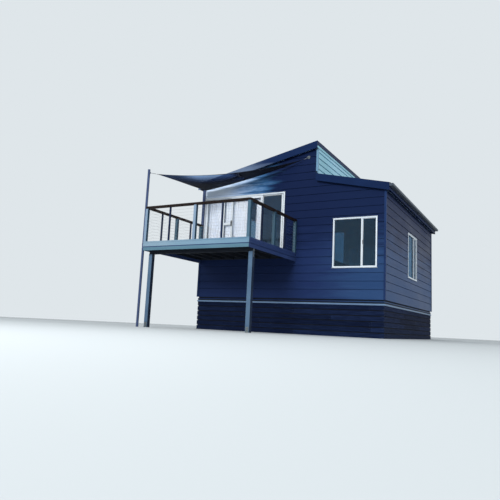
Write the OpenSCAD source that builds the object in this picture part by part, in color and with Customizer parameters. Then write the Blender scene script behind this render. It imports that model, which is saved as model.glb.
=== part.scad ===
// Split level beach house: a raised block under a long skillion roof, a lower block beside it,
// a clerestory wall between the two roofs, and a raised timber deck shaded by a three-cornered sail.
// X runs along the front wall, Y runs from the deck into the house, and Z is up from the ground.

/* [Blocks] */
// Width of the raised block along the front wall
left_w = 4290; // [4000:10:4800]
// Width of the low block along the front wall
right_w = 2160; // [1900:10:3200]
// Depth of the house behind the front wall
house_d = 7000; // [5000:50:9000]
// Thickness of a framed and clad wall
wall_t = 120; // [100:5:160]

/* [Levels] */
// Height of the deck and of the raised floor above the ground
deck_z = 2500; // [2350:10:2800]
// Height of the top of the base rails above the ground
rail_top_z = 1015; // [850:5:1100]
// Thickness of the low floor
lower_floor_t = 225; // [180:5:260]
// Thickness of the raised floor
upper_floor_t = 220; // [160:5:260]

/* [Roof] */
// Slope of both roofs in degrees
roof_pitch = 12.5; // [10:0.5:14]
// Height of the high edge of the upper roof above the deck
peak_h = 3522; // [3450:1:3900]
// Drop from the upper roof to the lower roof at the clerestory
clerestory_h = 1052; // [900:1:1150]
// Depth of the roof framing, measured vertically
roof_t = 160; // [120:5:200]
// Thickness of the roof sheeting
sheet_t = 20; // [12:1:30]
// Overhang of the roofs past the front and back walls
rake_overhang = 150; // [100:5:300]
// Overhang of the roofs past the side walls
eave_overhang = 100; // [60:5:300]
// Overhang of the upper roof past the clerestory wall
ridge_overhang = 0; // [0:5:160]
// Depth of the barge boards, measured vertically
barge_h = 230; // [200:5:300]
// Thickness of the barge boards and the fascias
barge_t = 25; // [18:1:40]
// Depth of the fascias
fascia_h = 180; // [140:5:220]
// How far the sheeting reaches past a fascia
sheet_lip = 40; // [20:1:60]

/* [Gutters] */
// Width of a gutter
gutter_w = 115; // [90:5:150]
// Height of a gutter
gutter_h = 75; // [60:5:100]
// Thickness of the gutter walls
gutter_t = 5; // [3:1:8]
// Drop from the sheeting to the rim of the gutter
gutter_drop = 6; // [2:1:20]

/* [Base] */
// Width of a square stump
stump_w = 90; // [75:5:125]
// Setback of the stumps from the wall face
stump_inset = 50; // [45:1:80]
// Rows of stumps from front to back
stump_rows = 5; // [3:1:7]
// Height of the base rails
base_rail_h = 90; // [60:5:120]
// Setback of the base rails from the wall face
base_rail_inset = 10; // [0:1:25]
// Height of the sill plates, which show as a shadow gap under the walls
plate_h = 70; // [40:5:100]
// Setback of the sill plates from the wall face
plate_inset = 25; // [15:1:45]
// Boards on each side of the base
baseboard_rows = 6; // [4:1:8]
// Gap between two baseboards
baseboard_gap = 24; // [12:1:40]
// Thickness of a baseboard
baseboard_t = 20; // [14:1:25]

/* [Door unit] */
// Distance from the deck's right edge to the door unit
door_from_right = 460; // [380:5:600]
// Distance from the left corner of the house to the door unit
door_inset = 90; // [70:1:150]
// Width of the door unit
door_w = 3100; // [2900:5:3250]
// Height of the door unit
door_h = 2005; // [2000:5:2150]
// Width of the frame of the door unit
door_jamb = 45; // [40:1:70]
// Height of the head and of the sill of the door unit
door_head_h = 38; // [35:1:80]
// Depth of the frame of the door unit
door_depth = 118; // [112:1:140]
// Width of the screen channel inside the right jamb
channel_w = 25; // [15:5:100]
// Setback of the screen channel from the front of the frame
channel_set = 30; // [15:1:60]
// How far door and window frames stand out of the wall
frame_proud = 10; // [4:1:20]
// Width of the fixed lights left of the leaf
fixed_left_w = 1100; // [1000:5:1200]
// Width of the narrow light with the mid rail
narrow_light_w = 300; // [240:5:360]
// Width of the sliding leaf
leaf_w = 1200; // [1100:5:1250]
// Overlap of the leaf with the fixed lights
leaf_lap = 60; // [50:1:80]
// Width of the stiles and rails
stile_w = 60; // [50:1:75]
// Height of the top rails of the fixed lights
top_rail_h = 20; // [15:1:75]
// Thickness of the leaf and of the fixed lights
leaf_t = 35; // [30:1:40]
// Gap between the leaf and the fixed lights
track_gap = 10; // [6:1:14]
// Setback of the leaf from the front of the frame
leaf_set = 25; // [18:1:30]
// Running gap above and below the leaf
leaf_gap = 8; // [6:1:12]
// Gap between a glide and the track
glide_gap = 0.3; // [0.2:0.05:0.6]
// Thickness of the door and window glass
glass_t = 8; // [6:1:12]
// Height of the pull and of the mid rail above the floor
pull_z = 1080; // [950:10:1150]
// Length of the pull
pull_l = 200; // [140:5:260]

/* [Windows] */
// Width of a window
window_w = 1350; // [1100:10:1500]
// Height of a window
window_h = 1500; // [1200:10:1600]
// Height of the sill above the low floor
window_sill = 780; // [650:10:900]
// Distance from the clerestory line to the front window
window_inset = 560; // [400:10:600]
// Distance from the left side of a window to the middle of its mullion
mullion_at = 890; // [600:10:900]
// Width of a window frame
window_frame_w = 36; // [30:1:70]
// Depth of a window frame
window_depth = 100; // [80:1:110]

/* [Curtains] */
// Thickness of a drawn curtain
curtain_t = 60; // [40:5:80]
// Width of the left curtain
curtain_left_w = 640; // [500:10:700]
// Width of the right curtain
curtain_right_w = 900; // [700:10:1100]
// Gap between the two curtains
curtain_split = 70; // [40:5:150]
// Width of the end curtain, drawn back beside the right fixed light
curtain_end_w = 170; // [100:10:260]
// Distance from the end curtain to the right fixed light
curtain_end_gap = 70; // [20:5:120]
// Distance from the wall to the curtains
curtain_off = 45; // [30:5:80]
// Gap between a curtain and the floor
curtain_lift = 25; // [10:5:60]
// Radius of the curtain rail
curtain_rail_r = 14; // [10:1:18]

/* [Deck] */
// Width of the deck
deck_w = 3600; // [3300:10:3600]
// Depth of the deck from its front edge to the wall
deck_d = 3000; // [2600:10:3600]
// Thickness of the deck boards
deck_board_t = 22; // [18:1:32]
// Depth of the joists
joist_h = 140; // [120:5:190]
// Thickness of a joist and of the ledger
joist_t = 45; // [35:1:50]
// Joists across the deck
joists = 9; // [6:1:12]
// Depth of the bearer
bearer_h = 180; // [140:5:220]
// Thickness of the bearer
bearer_t = 90; // [70:5:110]
// Width of the square posts under the deck
deck_post_w = 125; // [100:5:150]
// Setback of the posts and the bearer from the deck's front edge
bearer_set = 270; // [40:5:500]
// Height of the upper fascia board
deck_fascia_h = 160; // [140:5:190]
// Height of the lower fascia board
deck_fascia_low_h = 110; // [80:5:140]
// Thickness of the fascia boards
deck_fascia_t = 25; // [20:1:35]
// Setback of the lower fascia board
deck_fascia_step = 8; // [4:1:12]

/* [Balustrade] */
// Height of the handrail's top above the deck
rail_h = 1060; // [1000:5:1150]
// Width of the handrail and of the main posts
rail_w = 90; // [70:5:110]
// Thickness of the handrail
rail_t = 70; // [45:5:90]
// Width of an intermediate support
support_w = 45; // [35:1:60]
// Bays across the front, an even number
front_bays = 4; // [2:2:6]
// Bays along each side, an even number
side_bays = 4; // [2:2:6]

/* [Sail] */
// Radius of the tall post at the deck's front corner
sail_post_r = 38; // [30:1:50]
// Height of the tall post above the deck
sail_post_h = 2230; // [2150:10:2500]
// Radius of the slim pole beside the house corner
sail_pole_r = 30; // [24:1:36]
// Height of the slim pole above the deck
sail_pole_h = 2330; // [2320:1:2340]
// Gap between the slim pole and the wall
sail_pole_gap = 15; // [8:1:25]
// Thickness of the sail cloth with its hems
sail_t = 6; // [4:1:10]
// Dip of the two free sail edges towards the middle as a share of their length
sail_dip = 0.05; // [0.03:0.005:0.1]
// Dip of the sail edge along the wall as a share of its length
sail_wall_dip = 0.02; // [0.01:0.005:0.06]
// Sag of the cloth under its own weight as a share of its length
sail_sag = 0.028; // [0.01:0.002:0.05]
// Reach of the front fitting from the post's axis
front_fitting = 260; // [200:5:320]
// Reach of the back fitting from the pole's axis
back_fitting = 112; // [95:1:150]
// Radius of the body of a turnbuckle
turnbuckle_r = 11; // [8:1:14]
// Drop from the underside of the upper roof to the middle of the wall plate
plate_drop = 213; // [160:1:320]
// Distance from the clerestory line to the wall plate
plate_from_ridge = 310; // [240:5:450]
// Width of the square wall plate
plate_w = 90; // [70:5:110]
// Thickness of the wall plate
plate_t = 10; // [8:1:14]

/* [Trims] */
// Width of a corner trim
trim_w = 60; // [45:1:80]
// Thickness of a corner trim
trim_t = 10; // [8:1:14]

/* [Hidden] */

// A joint left between two boards that meet at a corner
butt = 2;
// Clearance between two pieces that only rest against each other
touch = 0.3;

// Plan of the house, with its zero at the deck's front right corner
door_right = -door_from_right;
house_l = door_right - door_w - door_inset;
ridge_x = house_l + left_w;
house_r = ridge_x + right_w;
wall_y = deck_d;
inner_y = wall_y + wall_t;
back_y = wall_y + house_d;
inner_back = back_y - wall_t;
deck_l = -deck_w;

// Levels above the ground
wall_z = rail_top_z + plate_h;
low_floor_z = rail_top_z + lower_floor_t;
peak_z = deck_z + peak_h;
low_peak_z = peak_z - clerestory_h;
head_z = deck_z + door_h;

// Edges of the roofs
rise = tan(roof_pitch);
roof_l = house_l - eave_overhang;
roof_ridge = ridge_x + ridge_overhang;
roof_r = house_r + eave_overhang;
roof_front = wall_y - rake_overhang;
roof_back = back_y + rake_overhang;
model_l = roof_l - barge_t - gutter_w;
model_r = roof_r + barge_t + gutter_w;
mid_x = (model_l + model_r) / 2;
mid_y = roof_back / 2;

function up_top(x) = peak_z - (ridge_x - x) * rise;
function low_top(x) = low_peak_z - (x - ridge_x) * rise;
function up_under(x) = up_top(x) - sheet_t - roof_t;
function low_under(x) = low_top(x) - sheet_t - roof_t;

// Places a piece with the middle of the whole house at the origin
module placed() {
    translate([-mid_x, -mid_y, 0]) children();
}

// A block from one corner to the opposite one
module block(low, high) {
    translate(low) cube(high - low);
}

// An outline in X and Z, drawn out from y0 to y1
module section_y(points, y0, y1) {
    translate([0, y1, 0]) rotate([90, 0, 0]) linear_extrude(y1 - y0) polygon(points);
}

// A strip under a roof line, from z0 up to the roof or between two offsets from it
module under_upper(x0, x1, z0, y0, y1) {
    section_y([[x0, z0], [x1, z0], [x1, up_under(x1) - touch], [x0, up_under(x0) - touch]], y0, y1);
}

module under_lower(x0, x1, z0, y0, y1) {
    section_y([[x0, z0], [x1, z0], [x1, low_under(x1) - touch], [x0, low_under(x0) - touch]], y0, y1);
}

module upper_band(x0, x1, drop, depth, y0, y1) {
    section_y([[x0, up_top(x0) - drop - depth], [x1, up_top(x1) - drop - depth],
        [x1, up_top(x1) - drop], [x0, up_top(x0) - drop]], y0, y1);
}

module lower_band(x0, x1, drop, depth, y0, y1) {
    section_y([[x0, low_top(x0) - drop - depth], [x1, low_top(x1) - drop - depth],
        [x1, low_top(x1) - drop], [x0, low_top(x0) - drop]], y0, y1);
}

// Stumps, rails, plates and boards under the walls
stump_l = house_l + stump_inset;
stump_r = house_r - stump_inset - stump_w;
stump_step_x = ridge_x - stump_w - (wall_t - stump_w) / 2;
stump_y0 = wall_y + stump_inset;
stump_y1 = back_y - stump_inset - stump_w;
stump_xs = [stump_l, stump_l + (stump_step_x - stump_l) / 3, stump_l + (stump_step_x - stump_l) * 2 / 3,
    stump_step_x, (stump_step_x + stump_r) / 2, stump_r];
base_rail_z = rail_top_z - base_rail_h;

module stump(x, row) {
    y = stump_y0 + (stump_y1 - stump_y0) * row / (stump_rows - 1);
    edge = row == 0 || row == stump_rows - 1 || x == stump_l || x == stump_r;
    top = edge ? base_rail_z : x < stump_step_x ? deck_z - upper_floor_t : rail_top_z;
    block([x, y, 0], [x + stump_w, y + stump_w, top]);
}

module stumps() {
    color("#2b2f33") placed() for (x = stump_xs) for (row = [0 : stump_rows - 1]) stump(x, row);
}

// Four straight lengths around the house, set back from the wall faces
module ring_of_lengths(inset, thick, z0, z1) {
    l = house_l + inset;
    r = house_r - inset;
    f = wall_y + inset;
    b = back_y - inset;
    block([l, f, z0], [r, f + thick, z1]);
    block([l, b - thick, z0], [r, b, z1]);
    block([l, f + thick + butt, z0], [l + thick, b - thick - butt, z1]);
    block([r - thick, f + thick + butt, z0], [r, b - thick - butt, z1]);
}

module base_rails() {
    color("#6d7f95") placed() ring_of_lengths(base_rail_inset, wall_t - base_rail_inset, base_rail_z, rail_top_z);
}

module sill_plates() {
    color("#1e2226") placed() ring_of_lengths(plate_inset, wall_t - plate_inset, rail_top_z, wall_z);
}

module baseboards() {
    pitch = (base_rail_z + baseboard_gap) / baseboard_rows;
    color("#2f3a3f") placed() for (row = [0 : baseboard_rows - 1])
        ring_of_lengths(stump_inset - baseboard_t, baseboard_t, row * pitch, (row + 1) * pitch - baseboard_gap);
}

// Floors and the pieces that carry their free edges
module lower_floor() {
    color("#8a6f52") placed()
        block([ridge_x - wall_t, inner_y, rail_top_z], [house_r - wall_t, inner_back, low_floor_z]);
}

module upper_floor() {
    color("#8a6f52") placed()
        block([house_l + wall_t, inner_y, deck_z - upper_floor_t], [ridge_x, inner_back, deck_z]);
}

module step_wall() {
    color("#d8d8d2") placed()
        block([ridge_x - wall_t, inner_y, low_floor_z], [ridge_x, inner_back, deck_z - upper_floor_t]);
}

// The beam that carries the clerestory wall
beam_h = 300;
beam_top = low_under(ridge_x);

module clerestory_beam() {
    color("#d8d8d2") placed()
        block([ridge_x - wall_t, inner_y, beam_top - beam_h], [ridge_x, inner_back, beam_top]);
}

// Windows: each has its left lower corner on the outside of its wall
window_low_z = low_floor_z + window_sill;
window_high_z = head_z - window_h;
front_window_x = ridge_x + window_inset;
back_window_left_x = (house_l + ridge_x - window_w) / 2;
back_window_right_x = (ridge_x + house_r - window_w) / 2;
side_window_y = (wall_y + back_y - window_w) / 2;

module at_front_window() {
    translate([front_window_x, wall_y, window_low_z]) children();
}

module at_back_window_left() {
    translate([back_window_left_x + window_w, back_y, window_high_z]) rotate([0, 0, 180]) children();
}

module at_back_window_right() {
    translate([back_window_right_x + window_w, back_y, window_low_z]) rotate([0, 0, 180]) children();
}

module at_right_window() {
    translate([house_r, side_window_y, window_low_z]) rotate([0, 0, 90]) children();
}

module at_left_window() {
    translate([house_l, side_window_y + window_w, window_high_z]) rotate([0, 0, -90]) children();
}

module at_each_window() {
    at_front_window() children();
    at_back_window_left() children();
    at_back_window_right() children();
    at_right_window() children();
    at_left_window() children();
}

module window_hole() {
    translate([0, -wall_t, 0]) cube([window_w, 3 * wall_t, window_h]);
}

module window_frame() {
    lights = [[window_frame_w, mullion_at - window_frame_w / 2],
        [mullion_at + window_frame_w / 2, window_w - window_frame_w]];
    difference() {
        translate([0, -frame_proud, 0]) cube([window_w, window_depth, window_h]);
        for (light = lights) translate([light[0], -2 * frame_proud, window_frame_w])
            cube([light[1] - light[0], 2 * window_depth, window_h - 2 * window_frame_w]);
    }
}

module window_panes() {
    lights = [[window_frame_w, mullion_at - window_frame_w / 2],
        [mullion_at + window_frame_w / 2, window_w - window_frame_w]];
    for (light = lights) translate([light[0], window_depth / 3, window_frame_w])
        cube([light[1] - light[0], glass_t, window_h - 2 * window_frame_w]);
}

module window_frames() {
    color("#e6ecee") placed() at_each_window() window_frame();
}

module window_glass() {
    color("#5c7480", 0.5) placed() at_each_window() window_panes();
}

// Walls, split beside and over the doors
module front_wall_base() {
    color("#33405c") placed() block([house_l, wall_y, wall_z], [ridge_x, inner_y, deck_z]);
}

module front_wall_left() {
    color("#33405c") placed() under_upper(house_l, house_l + door_inset, deck_z, wall_y, inner_y);
}

module front_wall_head() {
    color("#33405c") placed() under_upper(house_l + door_inset, door_right, head_z, wall_y, inner_y);
}

module front_wall_middle() {
    color("#33405c") placed() under_upper(door_right, ridge_x, deck_z, wall_y, inner_y);
}

module front_wall_right() {
    color("#33405c") placed() difference() {
        under_lower(ridge_x, house_r, wall_z, wall_y, inner_y);
        at_front_window() window_hole();
    }
}

module left_wall() {
    color("#33405c") placed() difference() {
        under_upper(house_l, house_l + wall_t, wall_z, inner_y, inner_back);
        at_left_window() window_hole();
    }
}

module right_wall() {
    color("#33405c") placed() difference() {
        under_lower(house_r - wall_t, house_r, wall_z, inner_y, inner_back);
        at_right_window() window_hole();
    }
}

module back_wall_left() {
    color("#33405c") placed() difference() {
        under_upper(house_l, ridge_x, wall_z, inner_back, back_y);
        at_back_window_left() window_hole();
    }
}

module back_wall_right() {
    color("#33405c") placed() difference() {
        under_lower(ridge_x, house_r, wall_z, inner_back, back_y);
        at_back_window_right() window_hole();
    }
}

module clerestory_wall() {
    color("#8fa0b4") placed() under_upper(ridge_x - wall_t, ridge_x, beam_top, inner_y, inner_back);
}

// Roofs and their edges
module upper_roof() {
    color("#c9cdd0") placed()
        upper_band(roof_l, roof_ridge, sheet_t, roof_t, roof_front + barge_t, roof_back - barge_t);
}

module upper_roof_sheet() {
    color("#39424c") placed() upper_band(roof_l - barge_t - sheet_lip, roof_ridge + barge_t, 0, sheet_t,
        roof_front + barge_t, roof_back - barge_t);
}

module lower_roof() {
    color("#c9cdd0") placed()
        lower_band(ridge_x, roof_r, sheet_t, roof_t, roof_front + barge_t, roof_back - barge_t);
}

module lower_roof_sheet() {
    color("#39424c") placed() lower_band(ridge_x, roof_r + barge_t + sheet_lip, 0, sheet_t,
        roof_front + barge_t, roof_back - barge_t);
}

module barge_boards() {
    color("#242a36") placed() for (y = [roof_front, roof_back - barge_t]) {
        upper_band(roof_l - barge_t, roof_ridge + barge_t, 0, barge_h, y, y + barge_t);
        lower_band(ridge_x, roof_r + barge_t, 0, barge_h, y, y + barge_t);
    }
}

module fascia(x0, top) {
    block([x0, roof_front + barge_t, top - fascia_h], [x0 + barge_t, roof_back - barge_t, top]);
}

left_fascia_z = up_top(roof_l - barge_t) - sheet_t;
right_fascia_z = low_top(roof_r + barge_t) - sheet_t;

module fascias() {
    color("#242a36") placed() {
        fascia(roof_l - barge_t, left_fascia_z);
        fascia(roof_ridge, up_top(roof_ridge) - sheet_t);
        fascia(roof_r, right_fascia_z);
    }
}

// A square trough, with its back face at x = 0 and its rim at z = 0
module gutter() {
    translate([0, roof_front, 0]) difference() {
        translate([0, 0, -gutter_h]) cube([gutter_w, roof_back - roof_front, gutter_h]);
        translate([gutter_t, gutter_t, gutter_t - gutter_h])
            cube([gutter_w - 2 * gutter_t, roof_back - roof_front - 2 * gutter_t, gutter_h]);
    }
}

gutter_rim = sheet_lip * rise + gutter_drop;

module gutters() {
    color("#2a3038") placed() {
        translate([roof_l - barge_t - gutter_w, 0, left_fascia_z - gutter_rim]) gutter();
        translate([roof_r + barge_t, 0, right_fascia_z - gutter_rim]) gutter();
    }
}

// An angle around a corner, with its legs running along +X and +Y
module corner_angle(z0, z1) {
    difference() {
        translate([-trim_t, -trim_t, z0]) cube([trim_w, trim_w, z1 - z0]);
        translate([0, 0, z0 - 1]) cube([trim_w, trim_w, z1 - z0 + 2]);
    }
}

module corner_trims() {
    left_top = up_under(house_l - trim_t);
    right_top = low_under(house_r + trim_t);
    ridge_top = min(up_under(ridge_x - trim_w), up_top(roof_ridge) - sheet_t - fascia_h - touch);
    color("#7f8da0") placed() {
        translate([house_l, wall_y, 0]) corner_angle(wall_z, left_top);
        translate([house_l, back_y, 0]) rotate([0, 0, -90]) corner_angle(wall_z, left_top);
        translate([house_r, wall_y, 0]) rotate([0, 0, 90]) corner_angle(wall_z, right_top);
        translate([house_r, back_y, 0]) rotate([0, 0, 180]) corner_angle(wall_z, right_top);
        translate([ridge_x, wall_y, 0]) rotate([0, 0, 90]) corner_angle(low_peak_z, ridge_top);
        translate([ridge_x, back_y, 0]) rotate([0, 0, 180]) corner_angle(low_peak_z, ridge_top);
    }
}

// Door unit: a frame, fixed lights in the inner track and one leaf in the outer track
door_l = door_right - door_w;
door_in_l = door_l + door_jamb;
channel_r = door_right - door_jamb;
door_in_r = channel_r - channel_w;
door_in_z0 = deck_z + door_head_h;
door_in_z1 = head_z - door_head_h;
frame_y = wall_y - frame_proud;
leaf_y = frame_y + leaf_set;
fixed_y = leaf_y + leaf_t + track_gap;
fixed_left_r = door_in_l + fixed_left_w;
leaf_l = fixed_left_r - leaf_lap;
leaf_r = leaf_l + leaf_w;
fixed_right_l = leaf_r - leaf_lap;
mid_rail_z = deck_z + pull_z - stile_w / 2;

module door_frame() {
    color("#e6ecee") placed() difference() {
        block([door_l, frame_y, deck_z], [door_right, frame_y + door_depth, head_z]);
        block([door_in_l, frame_y - 1, door_in_z0], [door_in_r, frame_y + door_depth + 1, door_in_z1]);
        block([door_in_r - 1, frame_y - 1, door_in_z0], [channel_r, frame_y + channel_set, door_in_z1]);
    }
}

narrow_l = fixed_left_r - stile_w - narrow_light_w;
fixed_lights = [
    [door_in_l + stile_w, narrow_l - stile_w, door_in_z0 + stile_w, door_in_z1 - top_rail_h],
    [narrow_l, fixed_left_r - stile_w, door_in_z0 + stile_w, mid_rail_z],
    [narrow_l, fixed_left_r - stile_w, mid_rail_z + stile_w, door_in_z1 - top_rail_h],
    [fixed_right_l + stile_w, door_in_r - stile_w, door_in_z0 + stile_w, door_in_z1 - top_rail_h]];

module door_fixed_lights() {
    color("#e6ecee") placed() difference() {
        union() {
            block([door_in_l, fixed_y, door_in_z0], [fixed_left_r, fixed_y + leaf_t, door_in_z1]);
            block([fixed_right_l, fixed_y, door_in_z0], [door_in_r, fixed_y + leaf_t, door_in_z1]);
        }
        for (f = fixed_lights) block([f[0], fixed_y - 1, f[2]], [f[1], fixed_y + leaf_t + 1, f[3]]);
    }
}

module door_glass() {
    y = fixed_y + (leaf_t - glass_t) / 2;
    color("#5c7480", 0.5) placed() for (f = fixed_lights) block([f[0], y, f[2]], [f[1], y + glass_t, f[3]]);
}

leaf_z0 = door_in_z0 + leaf_gap;
leaf_z1 = door_in_z1 - leaf_gap;
// The glides under the leaf
glide_l = 80;
glide_w = 16;

module leaf_frame() {
    color("#f2f5f6") placed() {
        difference() {
            block([leaf_l, leaf_y, leaf_z0], [leaf_r, leaf_y + leaf_t, leaf_z1]);
            block([leaf_l + stile_w, leaf_y - 1, leaf_z0 + stile_w],
                [leaf_r - stile_w, leaf_y + leaf_t + 1, leaf_z1 - stile_w]);
        }
        for (x = [leaf_l + stile_w, leaf_r - stile_w - glide_l])
            block([x, leaf_y + (leaf_t - glide_w) / 2, door_in_z0 + glide_gap],
                [x + glide_l, leaf_y + (leaf_t + glide_w) / 2, leaf_z0]);
    }
}

module leaf_glass() {
    y = leaf_y + (leaf_t - glass_t) / 2;
    color("#5c7480", 0.5) placed()
        block([leaf_l + stile_w, y, leaf_z0 + stile_w], [leaf_r - stile_w, y + glass_t, leaf_z1 - stile_w]);
}

// A bar on two short legs, on the outside of the leaf's left stile
pull_w = 22;
pull_reach = 42;

module leaf_pull() {
    x = leaf_l + (stile_w - pull_w) / 2;
    z = deck_z + pull_z - pull_l / 2;
    color("#141414") placed() difference() {
        block([x, leaf_y - pull_reach, z], [x + pull_w, leaf_y, z + pull_l]);
        block([x - 1, leaf_y - pull_reach + pull_w, z + pull_w], [x + pull_w + 1, leaf_y + 1, z + pull_l - pull_w]);
    }
}

// Curtains behind the glass, on a rail over the doors
curtain_y = inner_y + curtain_off;
curtain_end_room = 10;
curtain_l = door_in_l + curtain_end_room;
curtain_mid = curtain_l + curtain_left_w;
curtain_rail_z = head_z + 2 * curtain_rail_r;
curtain_top = curtain_rail_z - curtain_rail_r;

module curtain(x0, w) {
    block([x0, curtain_y, deck_z + curtain_lift], [x0 + w, curtain_y + curtain_t, curtain_top]);
}

module curtain_left() {
    color("#f4f4f2") placed() curtain(curtain_l, curtain_left_w);
}

module curtain_right() {
    color("#f4f4f2") placed() {
        curtain(curtain_mid + curtain_split, curtain_right_w);
        curtain(fixed_right_l - curtain_end_gap - curtain_end_w, curtain_end_w);
    }
}

// The rail's brackets, one near each end and one in the middle
bracket_w = 30;
bracket_inset = 40;

module curtain_rail() {
    y = curtain_y + curtain_t / 2;
    color("#c8c8c4") placed() union() {
        translate([door_in_l, y, curtain_rail_z]) rotate([0, 90, 0])
            cylinder(r = curtain_rail_r, h = door_in_r - door_in_l, $fn = 32);
        for (x = [door_in_l + bracket_inset, (door_in_l + door_in_r) / 2, door_in_r - bracket_inset - bracket_w])
            block([x, inner_y, curtain_rail_z - curtain_rail_r / 2],
                [x + bracket_w, y, curtain_rail_z + curtain_rail_r / 2]);
    }
}

// Deck frame
deck_in_l = deck_l + deck_fascia_t;
deck_in_r = -deck_fascia_t;
joist_z0 = deck_z - deck_board_t - joist_h;
bearer_z0 = joist_z0 - bearer_h;
bearer_y = bearer_set + (deck_post_w - bearer_t) / 2;

module deck_posts() {
    color("#3a4654") placed() for (x = [deck_in_l, deck_in_r - deck_post_w])
        block([x, bearer_set, 0], [x + deck_post_w, bearer_set + deck_post_w, bearer_z0]);
}

module deck_bearers() {
    color("#39434a") placed() {
        block([deck_in_l, bearer_y, bearer_z0], [deck_in_r, bearer_y + bearer_t, joist_z0]);
        block([deck_in_l, wall_y - joist_t, joist_z0], [deck_in_r, wall_y, deck_z - deck_board_t]);
    }
}

module deck_joists() {
    step = (deck_in_r - deck_in_l - joist_t) / (joists - 1);
    color("#39434a") placed() for (i = [0 : joists - 1])
        block([deck_in_l + i * step, deck_fascia_t, joist_z0],
            [deck_in_l + i * step + joist_t, wall_y - joist_t, deck_z - deck_board_t]);
}

module deck_floor() {
    color("#7b6a58") placed()
        block([deck_in_l, deck_fascia_t, deck_z - deck_board_t], [deck_in_r, wall_y, deck_z]);
}

// Two boards, the lower one set back, with the outer face of the upper one at y = 0
module fascia_pair(length) {
    t = deck_fascia_t;
    rotate([90, 0, 90]) linear_extrude(length) polygon([[0, deck_z], [0, deck_z - deck_fascia_h],
        [deck_fascia_step, deck_z - deck_fascia_h],
        [deck_fascia_step, deck_z - deck_fascia_h - deck_fascia_low_h],
        [t, deck_z - deck_fascia_h - deck_fascia_low_h], [t, deck_z]]);
}

module deck_fascias() {
    side = wall_y - deck_fascia_t - butt;
    color("#8ea6ae") placed() {
        translate([deck_l, 0, 0]) fascia_pair(deck_w);
        translate([0, deck_fascia_t + butt, 0]) rotate([0, 0, 90]) fascia_pair(side);
        translate([deck_l, wall_y, 0]) rotate([0, 0, -90]) fascia_pair(side);
    }
}

// Balustrade
rail_z1 = deck_z + rail_h;
rail_z0 = rail_z1 - rail_t;
front_bay = deck_w / front_bays;
side_bay = deck_d / side_bays;
pole_x = deck_l + rail_w / 2;
pole_y = wall_y - sail_pole_gap - sail_pole_r;
pole_room = 35;
left_end_y = pole_y - sail_pole_r - pole_room - rail_w;

module upright(x, y, w) {
    block([x - w / 2, y - w / 2, deck_z], [x + w / 2, y + w / 2, rail_z0]);
}

module balustrade_posts() {
    h = rail_w / 2;
    color("#93a3b4") placed() {
        for (i = [0 : 2 : front_bays]) {
            x = max(min(-i * front_bay, -h), deck_l + h);
            upright(x, h, rail_w);
        }
        for (i = [2 : 2 : side_bays - 2]) for (x = [-h, deck_l + h]) upright(x, i * side_bay, rail_w);
        upright(-h, wall_y - h, rail_w);
        upright(deck_l + h, left_end_y + h, rail_w);
    }
}

module balustrade_supports() {
    h = rail_w / 2;
    color("#20262b") placed() {
        for (i = [1 : 2 : front_bays - 1]) upright(-i * front_bay, h, support_w);
        for (i = [1 : 2 : side_bays - 1]) for (x = [-h, deck_l + h]) upright(x, i * side_bay, support_w);
    }
}

module handrails() {
    color("#241a17") placed() {
        block([deck_l, 0, rail_z0], [0, rail_w, rail_z1]);
        block([-rail_w, rail_w + butt, rail_z0], [0, wall_y, rail_z1]);
        block([deck_l, rail_w + butt, rail_z0], [deck_l + rail_w, left_end_y + rail_w, rail_z1]);
    }
}

// Sail: three corners, each held by a fitting that reaches it from a post or from the wall
post_x = deck_l - touch - sail_post_r;
post_y = 60;
front_hold_drop = 100;
back_hold_drop = 45;
front_hold = [post_x, post_y, deck_z + sail_post_h - front_hold_drop];
back_hold = [pole_x, pole_y, deck_z + sail_pole_h - back_hold_drop];
wall_hold = [ridge_x - plate_from_ridge, wall_y - plate_t, up_under(ridge_x - plate_from_ridge) - plate_drop];
sail_middle = [(post_x + pole_x + wall_hold[0]) / 3, (post_y + pole_y + wall_y) / 3];
function toward(hold, reach, lift) = let (d = sail_middle - [hold[0], hold[1]])
    hold + [d[0] / norm(d) * reach, d[1] / norm(d) * reach, lift];
front_corner = toward(front_hold, front_fitting, -1);
back_corner = toward(back_hold, back_fitting, -10);
wall_fitting = [-130, -60, -70];
wall_corner = wall_hold + wall_fitting;

module sail_posts() {
    color("#8c9499") placed() {
        translate([post_x, post_y, 0]) cylinder(r = sail_post_r, h = deck_z + sail_post_h, $fn = 40);
        translate([pole_x, pole_y, deck_z]) cylinder(r = sail_pole_r, h = sail_pole_h, $fn = 40);
    }
}

module sail_plate() {
    color("#9aa1a6") placed() block(wall_hold + [-plate_w / 2, 0, -plate_w / 2],
        wall_hold + [plate_w / 2, plate_t, plate_w / 2]);
}

// A turnbuckle on the line between two points, short of each by its own clearance
module turnbuckle(from, to, gap_from) {
    d = to - from;
    length = norm(d);
    l = length - gap_from - touch;
    translate(from) rotate([0, acos(d[2] / length), atan2(d[1], d[0])]) translate([0, 0, gap_from]) {
        cylinder(r = turnbuckle_r / 2, h = l, $fn = 24);
        translate([0, 0, l / 4]) cylinder(r = turnbuckle_r, h = l / 2, $fn = 24);
    }
}

module turnbuckles() {
    color("#9aa1a6") placed() {
        turnbuckle(front_hold, front_corner, sail_post_r + touch);
        turnbuckle(back_hold, back_corner, sail_pole_r + touch);
        turnbuckle(wall_hold, wall_corner, turnbuckle_r + touch);
    }
}

// Each edge of the sail dips in as a shallow curve, and the cloth sags between its three corners
edge_steps = 8;
sail_corners = [front_corner, wall_corner, back_corner];
sail_lengths = [for (c = [0 : 2]) norm(sail_corners[(c + 1) % 3] - sail_corners[c])];
sail_middle_point = (front_corner + wall_corner + back_corner) / 3;
sail_normal = let (n = cross(wall_corner - front_corner, back_corner - front_corner)) n / norm(n);

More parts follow.
